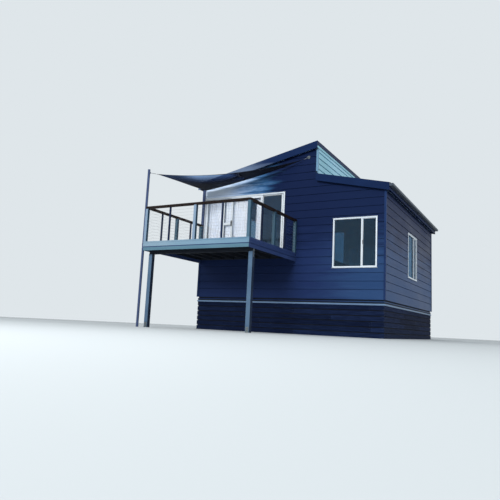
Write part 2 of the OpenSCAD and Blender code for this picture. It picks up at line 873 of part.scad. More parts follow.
function edge_point(c, t) = let (
    a = sail_corners[c],
    along = sail_corners[(c + 1) % 3] - a,
    across = cross(sail_normal, along) / sail_lengths[c],
    side = (sail_middle_point - a) * across > 0 ? 1 : -1,
    dip = c == 1 ? sail_wall_dip : sail_dip)
    a + along * t + across * side * dip * sail_lengths[c] * 4 * t * (1 - t);

// Shares of the three corners in a point, with k = 1 on the edge and k = 0 in the middle
function shares(c, t, k) = [for (i = [0 : 2])
    (1 - k) / 3 + k * (i == c ? 1 - t : i == (c + 1) % 3 ? t : 0)];
function sag_at(w) = [0, 0, -4 * sail_sag * (w[0] * w[1] * sail_lengths[0] + w[1] * w[2] * sail_lengths[1]
    + w[2] * w[0] * sail_lengths[2])];
function sail_ring(k) = [for (c = [0 : 2]) for (i = [0 : edge_steps - 1]) let (t = i / edge_steps)
    sail_middle_point + (edge_point(c, t) - sail_middle_point) * k + sag_at(shares(c, t, k))];

module sail() {
    up = sail_normal * sail_t / 2;
    n = 3 * edge_steps;
    one_side = concat(sail_ring(1), sail_ring(0.5), [sail_middle_point + sag_at(shares(0, 0, 0))]);
    m = len(one_side);
    points = concat([for (p = one_side) p + up], [for (p = one_side) p - up]);
    faces = [for (i = [0 : n - 1]) let (j = (i + 1) % n) each [
        [i, i + n, j], [j, i + n, j + n], [i + n, 2 * n, j + n],
        [m + i, m + j, m + i + n], [m + j, m + j + n, m + i + n], [m + i + n, m + j + n, m + 2 * n],
        [i, j, m + i], [j, m + j, m + i]]];
    color("#2c3646") placed() polyhedron(points, faces);
}

stumps();
base_rails();
baseboards();
sill_plates();
lower_floor();
upper_floor();
step_wall();
clerestory_beam();
front_wall_base();
front_wall_left();
front_wall_head();
front_wall_middle();
front_wall_right();
left_wall();
right_wall();
back_wall_left();
back_wall_right();
clerestory_wall();
upper_roof();
upper_roof_sheet();
lower_roof();
lower_roof_sheet();
barge_boards();
fascias();
gutters();
corner_trims();
door_frame();
door_fixed_lights();
door_glass();
leaf_frame();
leaf_glass();
leaf_pull();
curtain_left();
curtain_right();
curtain_rail();
window_frames();
window_glass();
deck_posts();
deck_bearers();
deck_joists();
deck_floor();
deck_fascias();
balustrade_posts();
balustrade_supports();
handrails();
sail();
sail_posts();
sail_plate();
turnbuckles();
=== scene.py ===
import bpy, bmesh, math, random
from mathutils import Matrix, Vector


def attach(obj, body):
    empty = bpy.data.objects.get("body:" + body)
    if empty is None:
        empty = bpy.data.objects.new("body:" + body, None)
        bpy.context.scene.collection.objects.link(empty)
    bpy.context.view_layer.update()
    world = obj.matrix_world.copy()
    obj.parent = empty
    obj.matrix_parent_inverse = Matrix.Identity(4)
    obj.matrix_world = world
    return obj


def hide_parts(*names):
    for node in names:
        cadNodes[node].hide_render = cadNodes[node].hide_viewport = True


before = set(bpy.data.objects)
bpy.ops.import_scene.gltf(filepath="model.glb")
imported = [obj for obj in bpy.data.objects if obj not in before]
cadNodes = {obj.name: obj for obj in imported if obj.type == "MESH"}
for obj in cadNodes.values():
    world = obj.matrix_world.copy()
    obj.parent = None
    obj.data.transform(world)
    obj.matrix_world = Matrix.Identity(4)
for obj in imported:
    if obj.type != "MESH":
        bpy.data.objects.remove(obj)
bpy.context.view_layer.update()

scene = bpy.context.scene

# the house is laid out in mm, with zero at the deck's front right corner on the ground
houseMatrix = Matrix.Scale(0.001, 4) @ Matrix.Translation((425, -5075, 0))
house = {
    "left": -3650, "ridge": 640, "right": 2800, "front": 3000, "back": 10000, "wall": 120, "doorL": -3560,
    "doorR": -460, "deckZ": 2500, "wallZ": 1085, "lowFloorZ": 1240, "railTopZ": 1015, "headZ": 4505,
    "peakZ": 6022, "lowPeakZ": 4970, "pitch": 12.5, "sheetT": 20, "roofT": 180, "overhang": 150,
    "sideOverhang": 100,
}
leftX, ridge, rightX, wallY, backY = (house[key] for key in ("left", "ridge", "right", "front", "back"))
deckZ, wallZ, railTopZ, lowPeakZ = (house[key] for key in ("deckZ", "wallZ", "railTopZ", "lowPeakZ"))
innerY, innerBack = wallY + house["wall"], backY - house["wall"]
roofFront, roofBack = wallY - house["overhang"], backY + house["overhang"]
roofLeft, roofRight = leftX - house["sideOverhang"], rightX + house["sideOverhang"]
slope = math.tan(math.radians(house["pitch"]))
upward = Vector((0, 0, 1))


def upTop(x):
    return house["peakZ"] - (ridge - x) * slope


def lowTop(x):
    return lowPeakZ - (x - ridge) * slope


def linear(hexColour):
    # sRGB hex to the linear numbers that the shaders use
    parts = [int(hexColour[i:i + 2], 16) / 255 for i in (1, 3, 5)]
    return [c / 12.92 if c <= 0.04045 else ((c + 0.055) / 1.055) ** 2.4 for c in parts] + [1.0]


def addNode(owner, kind, links=None, ramp=None, **settings):
    # links gives each input a number, a colour, a socket, or a node whose first output feeds it
    made = owner.node_tree.nodes.new("ShaderNode" + kind)
    for name, value in settings.items():
        setattr(made, name, value)
    for key, value in (links or {}).items():
        value = value.outputs[0] if isinstance(value, bpy.types.Node) else value
        if isinstance(value, bpy.types.NodeSocket):
            owner.node_tree.links.new(value, made.inputs[key])
        else:
            made.inputs[key].default_value = linear(value) if isinstance(value, str) else value
    if ramp:
        stops = made.color_ramp.elements
        while len(stops) < len(ramp[0]):
            stops.new(0.5)
        for stop, place in zip(stops, ramp[0]):
            stop.position = place
        for stop, colour in zip(stops, ramp[1].split()):
            stop.color = linear(colour)
    return made


def newMaterial(name):
    material = bpy.data.materials.new(name)
    material.use_nodes = True
    material.node_tree.nodes.clear()
    return material


def alongX(u, d, z):
    return (u, d, z)


def alongY(u, d, z):
    return (d, u, z)


def alongZ(u, d, z):
    return (d, z, u)


def box(bm, x0, x1, y0, y1, z0, z1, finish=0, place=alongX):
    # a block between two corners; place turns (across, depth, height) to the house's x, y, z
    vs = [bm.verts.new(place(x, y, z)) for x in (x0, x1) for y in (y0, y1) for z in (z0, z1)]
    for ids in ((0, 1, 3, 2), (4, 6, 7, 5), (0, 4, 5, 1), (2, 3, 7, 6), (0, 2, 6, 4), (1, 5, 7, 3)):
        bm.faces.new([vs[i] for i in ids]).material_index = finish


def skin(bm, loops, finish=0, closed=False):
    # faces from each closed loop of points to the next, with both ends capped unless they meet
    for a, b in zip(loops, loops[1:] + loops[:1] if closed else loops[1:]):
        for i in range(len(a)):
            j = (i + 1) % len(a)
            bm.faces.new([a[i], a[j], b[j], b[i]]).material_index = finish
    if not closed:
        bm.faces.new(loops[0][::-1]).material_index = finish
        bm.faces.new(loops[-1]).material_index = finish


def bar(bm, outline, start, end, along=alongX, finish=0):
    # a closed outline drawn along one axis
    skin(bm, [[bm.verts.new(along(u, p, q)) for p, q in outline] for u in (start, end)], finish)


def tube(bm, path, radius, sides=10, finish=0, closed=False):
    # a round bar that follows the points of a path
    points = [Vector(p) for p in path]
    n = len(points)
    radii = radius if isinstance(radius, list) else [radius] * n
    rings, side = [], None
    for i, p in enumerate(points):
        before = points[i - 1] if i or closed else p
        after = points[(i + 1) % n] if i < n - 1 or closed else p
        way = (after - before).normalized()
        side = side or way.orthogonal().normalized()
        side = (side - way * side.dot(way)).normalized()
        up = way.cross(side)
        turns = [2 * math.pi * k / sides for k in range(sides)]
        rings.append([bm.verts.new(p + (side * math.cos(t) + up * math.sin(t)) * radii[i]) for t in turns])
    skin(bm, rings, finish, closed)


def stud(bm, centre, way, steps, sides=12, finish=0):
    # a turned head or nut: steps are distances along way with a radius at each
    way = Vector(way).normalized()
    tube(bm, [Vector(centre) + way * d for d, r in steps], [r for d, r in steps], sides, finish)


def hoop(bm, centre, a, b, radius, thick, sides=8, finish=0, step=30):
    # a ring of round bar in the plane of two directions
    turns = [math.radians(degrees) for degrees in range(0, 360, step)]
    a, b = Vector(a) * radius, Vector(b) * radius
    path = [Vector(centre) + a * math.cos(t) + b * math.sin(t) for t in turns]
    tube(bm, path, thick, sides, finish, closed=True)


def ring(bm, hole, inset, wide, d0, d1, place=alongX, finish=0):
    # a mitred frame of four lengths, set in from the edges of a hole
    u0, u1, z0, z1 = hole
    loops = []
    for e, d in ((inset, d0), (inset + wide, d0), (inset + wide, d1), (inset, d1)):
        corners = ((u0 + e, z0 + e), (u1 - e, z0 + e), (u1 - e, z1 - e), (u0 + e, z1 - e))
        loops.append([bm.verts.new(place(u, d, z)) for u, z in corners])
    skin(bm, loops, finish, closed=True)


def panel(bm, us, zs, holes, front, back, place=alongX, finish=(0, 0)):
    # a slab of cells between two depths, left open where a hole is; front may be a depth at each height
    # the first two of us and zs are the slab's ends, and the rest are further cuts
    us = sorted({*us, *(h[i] for h in holes for i in (0, 1) if us[0] < h[i] < us[1])})
    zs = sorted({*zs, *(h[i] for h in holes for i in (2, 3) if zs[0] < h[i] < zs[1])})
    solid, corners = {}, {}
    for i in range(len(us) - 1):
        for j in range(len(zs) - 1):
            u, z = (us[i] + us[i + 1]) / 2, (zs[j] + zs[j + 1]) / 2
            solid[i, j] = not any(a < u < b and c < z < d for a, b, c, d in holes)

    def corner(i, j, side):
        if (i, j, side) not in corners:
            depth = back if side else front(zs[j]) if callable(front) else front
            corners[i, j, side] = bm.verts.new(place(us[i], depth, zs[j]))
        return corners[i, j, side]

    for i, j in (cell for cell, there in solid.items() if there):
        cell = ((i, j), (i + 1, j), (i + 1, j + 1), (i, j + 1))
        for side in (0, 1):
            bm.faces.new([corner(*c, side) for c in cell]).material_index = finish[side]
        for k, step in enumerate(((0, -1), (1, 0), (0, 1), (-1, 0))):
            if not solid.get((i + step[0], j + step[1]), False):
                a, b = cell[k], cell[(k + 1) % 4]
                edge = [corner(*a, 0), corner(*b, 0), corner(*b, 1), corner(*a, 1)]
                bm.faces.new(edge).material_index = finish[0]


def cutThrough(bm, point, normal, clear):
    # cuts along a plane; with clear set, what lies beyond it goes and the cut is closed
    cut = bmesh.ops.bisect_plane(bm, geom=bm.verts[:] + bm.edges[:] + bm.faces[:], dist=1e-4,
                                 plane_co=point, plane_no=normal, clear_outer=clear)
    edges = [e for e in cut["geom_cut"] if isinstance(e, bmesh.types.BMEdge) and e.is_boundary]
    if clear and edges:
        bmesh.ops.edgeloop_fill(bm, edges=edges)


def places(start, end, pitch):
    # from start and short of end, one pitch apart
    return [start + pitch * k for k in range(math.ceil((end - start) / pitch))]


def finishPiece(bm, name, finishes, slotName, node=None, body="house", edge=0, steps=2, angle=35):
    # turns mm into metres, rounds the edges and hands the piece to its body
    bm.transform(houseMatrix)
    bmesh.ops.recalc_face_normals(bm, faces=bm.faces[:])
    mesh = bpy.data.meshes.new(name)
    bm.to_mesh(mesh)
    bm.free()
    piece = bpy.data.objects.new(name, mesh)
    scene.collection.objects.link(piece)
    for finish in finishes:
        mesh.materials.append(finish)
    mesh.shade_smooth()
    mesh.set_sharp_from_angle(angle=math.radians(angle))
    if edge:
        rounding = piece.modifiers.new("edges", "BEVEL")
        rounding.width, rounding.segments = edge / 1000, steps
        rounding.limit_method, rounding.angle_limit = "ANGLE", math.radians(30)
        rounding.use_clamp_overlap, rounding.harden_normals = True, True
    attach(piece, body)
    # it replaces the CAD node that is named, or else the one that shares its name
    node = node or "".join("_" + letter.lower() if letter.isupper() else letter for letter in name)
    if node in cadNodes:
        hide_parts(node)
    return piece


def softened(name, node, finishes, slotName, edge, steps=2, split=None):
    # a CAD piece, its flat faces made whole again, with its edges eased as a plane or a saw leaves them
    bm = bmesh.new()
    bm.from_mesh(cadNodes[node].data)
    for f in bm.faces:
        f.material_index = 0
    bm.transform(houseMatrix.inverted())
    bmesh.ops.remove_doubles(bm, verts=bm.verts[:], dist=0.05)
    bmesh.ops.dissolve_limit(bm, angle_limit=math.radians(0.5), verts=bm.verts[:], edges=bm.edges[:])
    if split:
        split(bm)
    finishPiece(bm, name, finishes, slotName, node, edge=edge, steps=steps)


print("stage: frame loaded")

# finishes


def objectPoint(material, scale=(1, 1, 1)):
    # where a point is on the house in metres, stretched for the pattern that uses it
    place = addNode(material, "TexCoord").outputs["Object"]
    return addNode(material, "Mapping", {"Vector": place, "Scale": scale})


def paintedLightAndShade(material, colour, lightShadeFades):
    # each fade paints light or shade into the colour: it mixes in a colour along one axis, between two places
    # in metres, up to a share the edge of a fade drifts to and fro in streaks along the boards
    apart = addNode(material, "SeparateXYZ", {0: objectPoint(material)})
    streaks = addNode(material, "TexNoise", {"Vector": objectPoint(material, (0.9, 0.9, 7)), "Scale": 1.0,
                      "Detail": 4.0, "Roughness": 0.6})
    drift = addNode(material, "Math", {0: streaks, 1: 2.4, 2: -1.2}, operation="MULTIPLY_ADD")
    for axis, start, end, tint, most in lightShadeFades:
        place = addNode(material, "Math", {0: apart.outputs[axis], 1: drift}, operation="ADD")
        share = addNode(material, "MapRange", {0: place, 1: start, 2: end, 3: 0.0, 4: most},
                        interpolation_type="SMOOTHSTEP")
        colour = addNode(material, "Mix", {0: share, 6: colour, 7: tint}, data_type="RGBA").outputs[2]
    return colour


def solidSurface(material, colour, sheen, relief=None, **more):
    # sheen is a pattern, the span of it that counts and the roughness at both ends of that span;
    # relief is a pattern with its strength and its depth in metres
    rough = addNode(material, "MapRange", dict(enumerate(sheen)))
    inputs = {"Base Color": colour, "Roughness": rough}
    inputs.update({key.replace("_", " "): value for key, value in more.items()})
    if relief:
        height, strength, depth = relief
        links = {"Height": height, "Strength": strength, "Distance": depth}
        inputs["Normal"] = addNode(material, "Bump", links)
    addNode(material, "OutputMaterial", {"Surface": addNode(material, "BsdfPrincipled", inputs)})
    return material


def paintedBoards(name, tones, rough=0.42, grain=(5, 5, 240), gloss=0.2, lightShadeFades=()):
    # acrylic paint brushed on timber: an even satin film that keeps a trace of the grain and the brush,
    # each board a shade of its own, with painted light and shade mixed in along any fades it is given
    material = newMaterial(name)
    wash = addNode(material, "TexNoise", {"Vector": objectPoint(material, (0.5, 0.5, 1.6)), "Scale": 1.0,
                   "Detail": 4.0, "Roughness": 0.55})
    brush = addNode(material, "TexNoise", {"Vector": objectPoint(material, grain), "Scale": 1.0, "Detail": 5.0,
                    "Roughness": 0.6})  # bristle marks about 4 mm apart
    island = addNode(material, "NewGeometry").outputs["Random Per Island"]
    both = addNode(material, "Math", {0: wash, 1: 0.75}, operation="MULTIPLY")
    own = addNode(material, "Math", {0: island, 1: 0.16, 2: both}, operation="MULTIPLY_ADD")
    fine = addNode(material, "Math", {0: brush, 1: 0.1, 2: own}, operation="MULTIPLY_ADD")
    colour = addNode(material, "ValToRGB", {0: fine}, ramp=((0.3, 0.5, 0.72), tones))
    sheen = (wash, 0.25, 0.75, rough - 0.06, rough + 0.08)
    return solidSurface(material, paintedLightAndShade(material, colour, lightShadeFades), sheen, (brush, 0.25, 0.0008), IOR=1.5,
                        Specular_IOR_Level=gloss)


def sawnTimber(name, tones, stretch, rough=0.8, depth=0.0012, gloss=0.3):
    # solid timber, planed or rough sawn: growth rings drawn out along each board, darker in the pores
    material = newMaterial(name)
    island = addNode(material, "NewGeometry").outputs["Random Per Island"]
    shift = addNode(material, "Math", {0: island, 1: 37.0}, operation="MULTIPLY")
    rings = addNode(material, "TexNoise", {"Vector": objectPoint(material, stretch), "W": shift, "Scale": 1.0,
                    "Detail": 6.0, "Roughness": 0.62, "Distortion": 0.6}, noise_dimensions="4D")
    own = addNode(material, "Math", {0: island, 1: 0.22, 2: -0.11}, operation="MULTIPLY_ADD")
    shade = addNode(material, "Math", {0: rings, 1: own}, operation="ADD")
    colour = addNode(material, "ValToRGB", {0: shade}, ramp=((0.3, 0.5, 0.7), tones))
    return solidSurface(material, colour, (rings, 0.3, 0.7, rough + 0.1, rough - 0.08), (rings, 0.4, depth),
                        IOR=1.5, Specular_IOR_Level=gloss)


def evenCoat(name, tones, rough, scale, depth=0.0002, gloss=0.5):
    # a factory coating, such as powder coat or oven paint: one colour, with a fine orange peel and faint dust
    material = newMaterial(name)
    dust = addNode(material, "TexNoise", {"Vector": objectPoint(material), "Scale": 3.0, "Detail": 5.0})
    peel = addNode(material, "TexNoise", {"Vector": objectPoint(material), "Scale": scale, "Detail": 2.0})
    colour = addNode(material, "ValToRGB", {0: dust}, ramp=((0.38, 0.66), tones))
    return solidSurface(material, colour, (dust, 0.3, 0.7, rough - 0.05, rough + 0.08), (peel, 0.2, depth),
                        IOR=1.5, Specular_IOR_Level=gloss)


# satin acrylic on timber weatherboards: navy
# painted shade: the boards are darker towards the left and towards the top
navy, midnight = "#263f66 #2b446b #334c74", "#0e1c3c #122345 #182b52"
lengthways, crossways, upright = (5, 220, 220), (220, 5, 220), (200, 200, 5)
paintedShadeFades = [(0, 2.8, 0.7, "#1e2d54", 1.0), (2, 1.9, 3.6, "#131f3f", 0.95)]
wallPaint = paintedBoards("satinAcrylicNavy", navy, gloss=0.06, lightShadeFades=paintedShadeFades)
# over the doors the wall is painted lighter towards its left end: a painted highlight where light falls on it
paintedHighlightFades = [(0, -0.15, -1.6, "#467bae", 0.95), (0, -0.8, -2.6, "#cfdff2", 1.0)]
highlightedWallPaint = paintedBoards("satinAcrylicNavyPaintedHighlight", navy, 0.5, gloss=0.06, lightShadeFades=paintedShadeFades + paintedHighlightFades)
# the high wall's boards are painted a pale sea blue, lighter than the navy walls: a painted sheen
clerestorySheenPaint = paintedBoards("satinAcrylicPaintedSheenBlue", "#80b1c0 #90c0d3 #a5cfe4", gloss=0.12)
# the boards that edge the roofs: the same paint in near black, smoother off a spray gun
trimPaint = paintedBoards("sprayedAcrylicMidnight", midnight, 0.4, gloss=0.08)
# the barge boards are painted lighter towards their low left end: a painted highlight where light falls on them
bargeHighlightPaint = paintedBoards("sprayedAcrylicMidnightPaintedHighlight", midnight, 0.4, gloss=0.08,
                           lightShadeFades=[(0, -0.3, -1.7, "#62738e", 1.0)])
cornerPaint = paintedBoards("satinAcrylicBlueGrey", "#16264a #1b2d52 #233760", 0.4, gloss=0.08)
# the trims up the high wall are painted paler than the other corner trims: a painted sheen, as on the high
# wall's boards
ridgeTrimSheenPaint = paintedBoards("satinAcrylicPaintedSheenTeal", "#5e829c #678ba5 #7497b1", gloss=0.12)
baseRailPaint = paintedBoards("satinAcrylicSlateBlue", "#5a7290 #667f9e #7690ae", 0.45)
# flat ceiling paint, which hides the grain and gives no highlight
ceilingPaint = paintedBoards("flatAcrylicPowderBlue", "#93b4d3 #a0bfdc #adcbe6", 0.75, (40, 40, 40))
# the deck's boards are painted lighter towards their far left end: a painted highlight
leftHighlightFade = [(0, -0.8, -2.8, "#7c93a3", 0.8)]
deckPaint = paintedBoards("satinAcrylicSeaGrey", "#57768c #607e94 #6c899c", grain=lengthways, lightShadeFades=leftHighlightFade)
deckEdgePaint = paintedBoards("satinAcrylicMist", "#527086 #5b788e #678399", grain=lengthways, lightShadeFades=leftHighlightFade)
deckLowPaint = paintedBoards("satinAcrylicDeepSea", "#3f5f6f #486879 #547383", grain=lengthways)
# the deck's boards that face left and right are painted darker: painted shade on the sides
deckShadedSidePaint = paintedBoards("satinAcrylicIndigoPaintedShade", "#25345b #2b3b63 #344570", 0.4, crossways)
# the posts along the front are painted lighter towards the left: a painted highlight, which stops short of the
# posts further back
postPaint = paintedBoards("satinAcrylicPewter", "#3c5464 #435c6d #4d6878", grain=upright,
                          lightShadeFades=[(0, 0.0, -1.3, "#75899e", 1.0), (1, -4.5, -4.2, "#435c6d", 1.0)])
# the posts' faces that look left and right are painted darker: painted shade
postShadedSidePaint = paintedBoards("satinAcrylicDarkTealPaintedShade", "#1d3648 #254053 #2f4c60", grain=upright)
lowPostPaint = paintedBoards("satinAcrylicSlate", "#415870 #4a6179 #566e85", 0.45, upright)
# the deck posts' faces that look left and right are painted darker: painted shade
lowPostShadedSidePaint = paintedBoards("satinAcrylicInkPaintedShade", "#131c2c #1a2436 #243044", 0.45, upright)
supportPaint = paintedBoards("satinAcrylicNight", "#0d1730 #121e3a #1a2846", grain=upright)
# dark stained rough sawn timber under the house: the saw's marks catch a little light
baseTimber = sawnTimber("stainedSawnTimber", "#0f131a #181e28 #252d3a", (3, 3, 70))
baseBoardTimber = sawnTimber("stainedSawnBoards", "#0a1228 #111b34 #1b2847", (3, 3, 60), gloss=0.1)
# oiled hardwood decking: warm brown turning grey, with its grain drawn out along each board
deckTimber = sawnTimber("oiledHardwoodDecking", "#4c3d31 #75604c #937c64", (4, 120, 120), 0.55)
railTimber = sawnTimber("oiledDarkHardwood", "#0c0807 #170f0d #261a16", (30, 30, 30), 0.6, 0.0005, 0.2)
# planed boards under a satin floor varnish
floorTimber = sawnTimber("varnishedFloorBoards", "#74573a #947048 #b08a5e", (90, 4, 90), 0.35, 0.0003)
# matt emulsion on plasterboard, with the faint stipple of a roller
plasterPaint = evenCoat("rolledEmulsion", "#c6e0f0 #d0e8f7", 0.8, 260, depth=0.0004)
# polyester powder coat on extruded aluminium: hard and even, with a faint orange peel about 2 mm across
powderCoat = evenCoat("powderCoatedAluminium", "#cdd6de #d8e0e7", 0.34, 480)
# oven painted steel: matt slate on the corrugated sheets, near navy on the folded cappings
roofPaint = evenCoat("ovenPaintedSteel", "#3a424c #454e59", 0.5, 300, gloss=0.3)
cappingPaint = evenCoat("ovenPaintedSteelNight", "#16243c #1d2d47", 0.7, 300, gloss=0.1)
# the sail's steel posts: primed and sprayed with gloss enamel
postCoat = evenCoat("sprayedEnamelNight", "#2c3a5c #344468", 0.35, 420)
# moulded nylon with a fine spark eroded grain
blackNylon = evenCoat("mouldedNylon", "#0f0f10 #1b1b1d", 0.42, 900)
# extruded rubber glazing seal: soft, dull and nearly black
sealRubber = evenCoat("extrudedSealRubber", "#121314 #1e2021", 0.7, 500)


def makeGlass(name, tints, shine, paintedReflectionTint):
    # float glass 8 mm thick: the tint is the colour of its body, polished, a trace of dust
    # most of it is a clear sheet that light goes straight through, with a reflection that grows at a slant
    material = newMaterial(name)
    dust = addNode(material, "TexNoise", {"Vector": objectPoint(material), "Scale": 2.4, "Detail": 6.0})
    tint = addNode(material, "ValToRGB", {0: dust}, ramp=((0.35, 0.7), tints))
    haze = addNode(material, "MapRange", {0: dust, 1: 0.35, 2: 0.75, 3: 0.0, 4: 0.05})
    shader = addNode(material, "BsdfPrincipled", {"Base Color": tint, "Roughness": haze, "IOR": 1.5,
                     "Transmission Weight": 1.0})
    clear = addNode(material, "BsdfTransparent", {0: tint})
    # the reflection takes a given blue tint: a painted reflection colour
    mirror = addNode(material, "BsdfGlossy", {"Color": paintedReflectionTint, "Roughness": 0.02})
    # the face a ray leaves by gives no reflection, because the ray isn't bent on its way in
    slant = addNode(material, "Fresnel", {0: shine})
    behind = addNode(material, "NewGeometry").outputs["Backfacing"]
    front = addNode(material, "Math", {0: 1.0, 1: behind}, operation="SUBTRACT")
    share = addNode(material, "Math", {0: slant, 1: front}, operation="MULTIPLY")
    sheet = addNode(material, "MixShader", {0: share, 1: clear, 2: mirror})
    body = addNode(material, "MixShader", {0: 0.1, 1: sheet, 2: shader})
    addNode(material, "OutputMaterial", {"Surface": body})
    return material


def makeMetal(name, colourA, colourB, rough, scale):
    # hot dipped zinc or drawn stainless: clean bare metal, with crystals or draw marks in its sheen
    material = newMaterial(name)
    crystal = addNode(material, "TexVoronoi", {"Vector": objectPoint(material), "Scale": scale})
    colour = addNode(material, "Mix", {0: crystal.outputs["Color"], 6: colourA, 7: colourB}, data_type="RGBA")
    sheen = (crystal.outputs["Distance"], 0.0, 0.6, rough - 0.07, rough + 0.08)
    return solidSurface(material, colour.outputs[2], sheen, Metallic=1.0)


def makeCloth(name, stops, tones, bands, thread, rough, through=None, **more):
    # cloth of crossed threads: thread is their spacing in mm, drawn coarser than real so that it shows
    material = newMaterial(name)
    point = objectPoint(material)
    warp, weft = (addNode(material, "TexWave", {"Vector": point, "Scale": 50 / thread, "Distortion": 0.4,
                          "Detail": 1.0}, bands_direction=band).outputs[1] for band in bands)
    weave = addNode(material, "Math", {0: warp, 1: weft}, operation="MULTIPLY")
    cloud = addNode(material, "TexNoise", {"Vector": point, "Scale": 1.2, "Detail": 4.0})
    shade = addNode(material, "Math", {0: weave, 1: 0.2, 2: cloud}, operation="MULTIPLY_ADD")
    inputs = {"Base Color": addNode(material, "ValToRGB", {0: shade}, ramp=(stops, tones)), "IOR": 1.45,
              "Normal": addNode(material, "Bump", {"Height": weave, "Strength": 0.3, "Distance": 0.0006}),
              "Roughness": rough, "Sheen Roughness": 0.5}
    inputs.update({key.replace("_", " "): value for key, value in more.items()})
    shader = addNode(material, "BsdfPrincipled", inputs)
    addNode(material, "OutputMaterial", {"Surface": through(material, point, shader) if through else shader})
    return material


# woven fibreglass mesh, drawn as one dark cloth because its holes are too fine to show; its near black also
# stands as painted shade under the house
darkMeshAsShade = makeCloth("wovenFibreglassMeshPaintedShade", (0.3, 0.6, 0.8), "#0b0d11 #12151a #1b1f26", "XZ", 6, 0.9)
doorGlass = makeGlass("floatGlass", "#f9fafc #fbfcfd", 1.8, "#8fbcf0")
windowGlass = makeGlass("tintedFloatGlass", "#a3bccd #acc5d5", 2.05, "#78a0c2")
galvanised = makeMetal("hotDippedZinc", "#7f878b", "#9ba2a5", 0.42, 90)  # zinc crystals about 11 mm across
stainless = makeMetal("drawnStainless", "#a7abad", "#b9bcbe", 0.26, 600)
# woven polyester curtain: white, soft, a little light comes through it
curtainCloth = makeCloth("wovenPolyester", (0.3, 0.55, 0.8), "#eff3f8 #f5f8fc #fafcff", "XZ", 4, 0.85,
                         Sheen_Weight=0.3, Subsurface_Weight=0.25, Subsurface_Radius=(0.01, 0.01, 0.01))
webbing = makeCloth("wovenWebbing", (0.3, 0.6, 0.8), "#080d1b #0d1528 #152038", "XY", 5, 0.8)
print("stage: finishes made")

# walls: a framed core with its lining, clad in lapped weatherboards

cladding = {
    "cover": 247,      # height of a board that shows
    "first": 293,      # height of the first board over the plate
    "recess": 8,       # how far the top of a board's face lies behind its foot
    "ease": 1.5,       # rounding at its foot
    "groove": 15,      # height of the rebate under the foot of the next board
    "grooveDeep": 26,  # depth of that rebate
    "deep": 30,        # depth of the boards
    "lining": 120,     # inner face of the wall
    "gap": 1.5,        # gap where two lengths meet
    "lengths": (4200, 3600, 4800),  # lengths that the boards come in
}
# the high wall's boards are narrower, with a wide shadow gap under each
narrowBoards = {**cladding, "cover": 182, "first": 268, "groove": 32}


def boardFace(boards, foot, top):
    # depth of a board's face at a height: rounded at its foot, sloped back, then rebated at its top
    def depth(z):
        rise = z - foot - boards["ease"]
        if rise < 0:
            return -rise
        if z > top - boards["groove"] + 0.2:
            return boards["grooveDeep"]
        return boards["recess"] * rise / (top - foot - boards["ease"])
    return depth


def cladWall(name, seed, place, ends, heights, paint, holes, roof, core, low=None, boards=cladding):
    # ends are those of the cladding and core those of the frame behind it; low is where the cladding starts
    dice = random.Random(seed)
    bm = bmesh.new()
    (u0, u1), (z0, z1) = ends, heights
    low, cover = low or z0, boards["cover"]
    lapZ = wallZ + boards["first"]
    row = max(math.floor((low - lapZ) / cover), -1)
    while lapZ + row * cover < z1:
        # the lowest board is taller than the rest and starts at the plate
        foot = lapZ + row * cover if row >= 0 else wallZ
        row += 1
        head = lapZ + row * cover
        a, b = max(foot, low), min(head - 0.6, z1)
        if b - a < 3:
            continue
        joints = [u0]
        along = u0 + dice.choice(boards["lengths"]) * dice.uniform(0.4, 1)
        while along < u1 - 900:
            if not any(h[0] - 60 < along < h[1] + 60 and h[2] < b and h[3] > a for h in holes):
                joints.append(along)
            along += dice.choice(boards["lengths"])
        joints.append(u1)
        lap = head - boards["groove"]
        cuts = [z for z in (foot + boards["ease"], lap, lap + 0.4) if a < z < b]
        for p, q in zip(joints, joints[1:]):
            far = q if q == u1 else q - boards["gap"]
            panel(bm, [p, far], [a, b] + cuts, holes, boardFace(boards, foot, head), boards["deep"], place)
    panel(bm, core, heights, holes, boards["deep"] + 0.5, boards["lining"], place, (1, 2))
    if roof:
        # the wall ends just under the roof
        lineTop, way = roof
        cutThrough(bm, (ridge, 0, lineTop(ridge) - house["roofT"] - 0.5), (way * slope, 0, 1), True)
    finishPiece(bm, name, [paint, baseTimber, plasterPaint], "wall_paint")


windowSize = {"wide": 1350, "high": 1500, "sillLow": 2020, "sillHigh": 3005, "mullion": 890, "fromRidge": 560}
windowW, windowH, sillLow, sillHigh = (windowSize[key] for key in ("wide", "high", "sillLow", "sillHigh"))


def windowHole(start, sill):
    return (start, start + windowW, sill, sill + windowH)


sideStart = (wallY + backY - windowW) / 2
frontWindow = windowHole(ridge + windowSize["fromRidge"], sillLow)
backLeftWindow = windowHole((leftX + ridge - windowW) / 2, sillHigh)
backRightWindow = windowHole((ridge + rightX - windowW) / 2, sillLow)
rightWindow, leftWindow = windowHole(sideStart, sillLow), windowHole(sideStart, sillHigh)
onFront, onBack, onLeft, onRight, onHighWall = (
    lambda u, d, z: (u, wallY + d, z), lambda u, d, z: (u, backY - d, z), lambda u, d, z: (leftX + d, u, z),
    lambda u, d, z: (rightX - d, u, z), lambda u, d, z: (ridge - d, u, z))
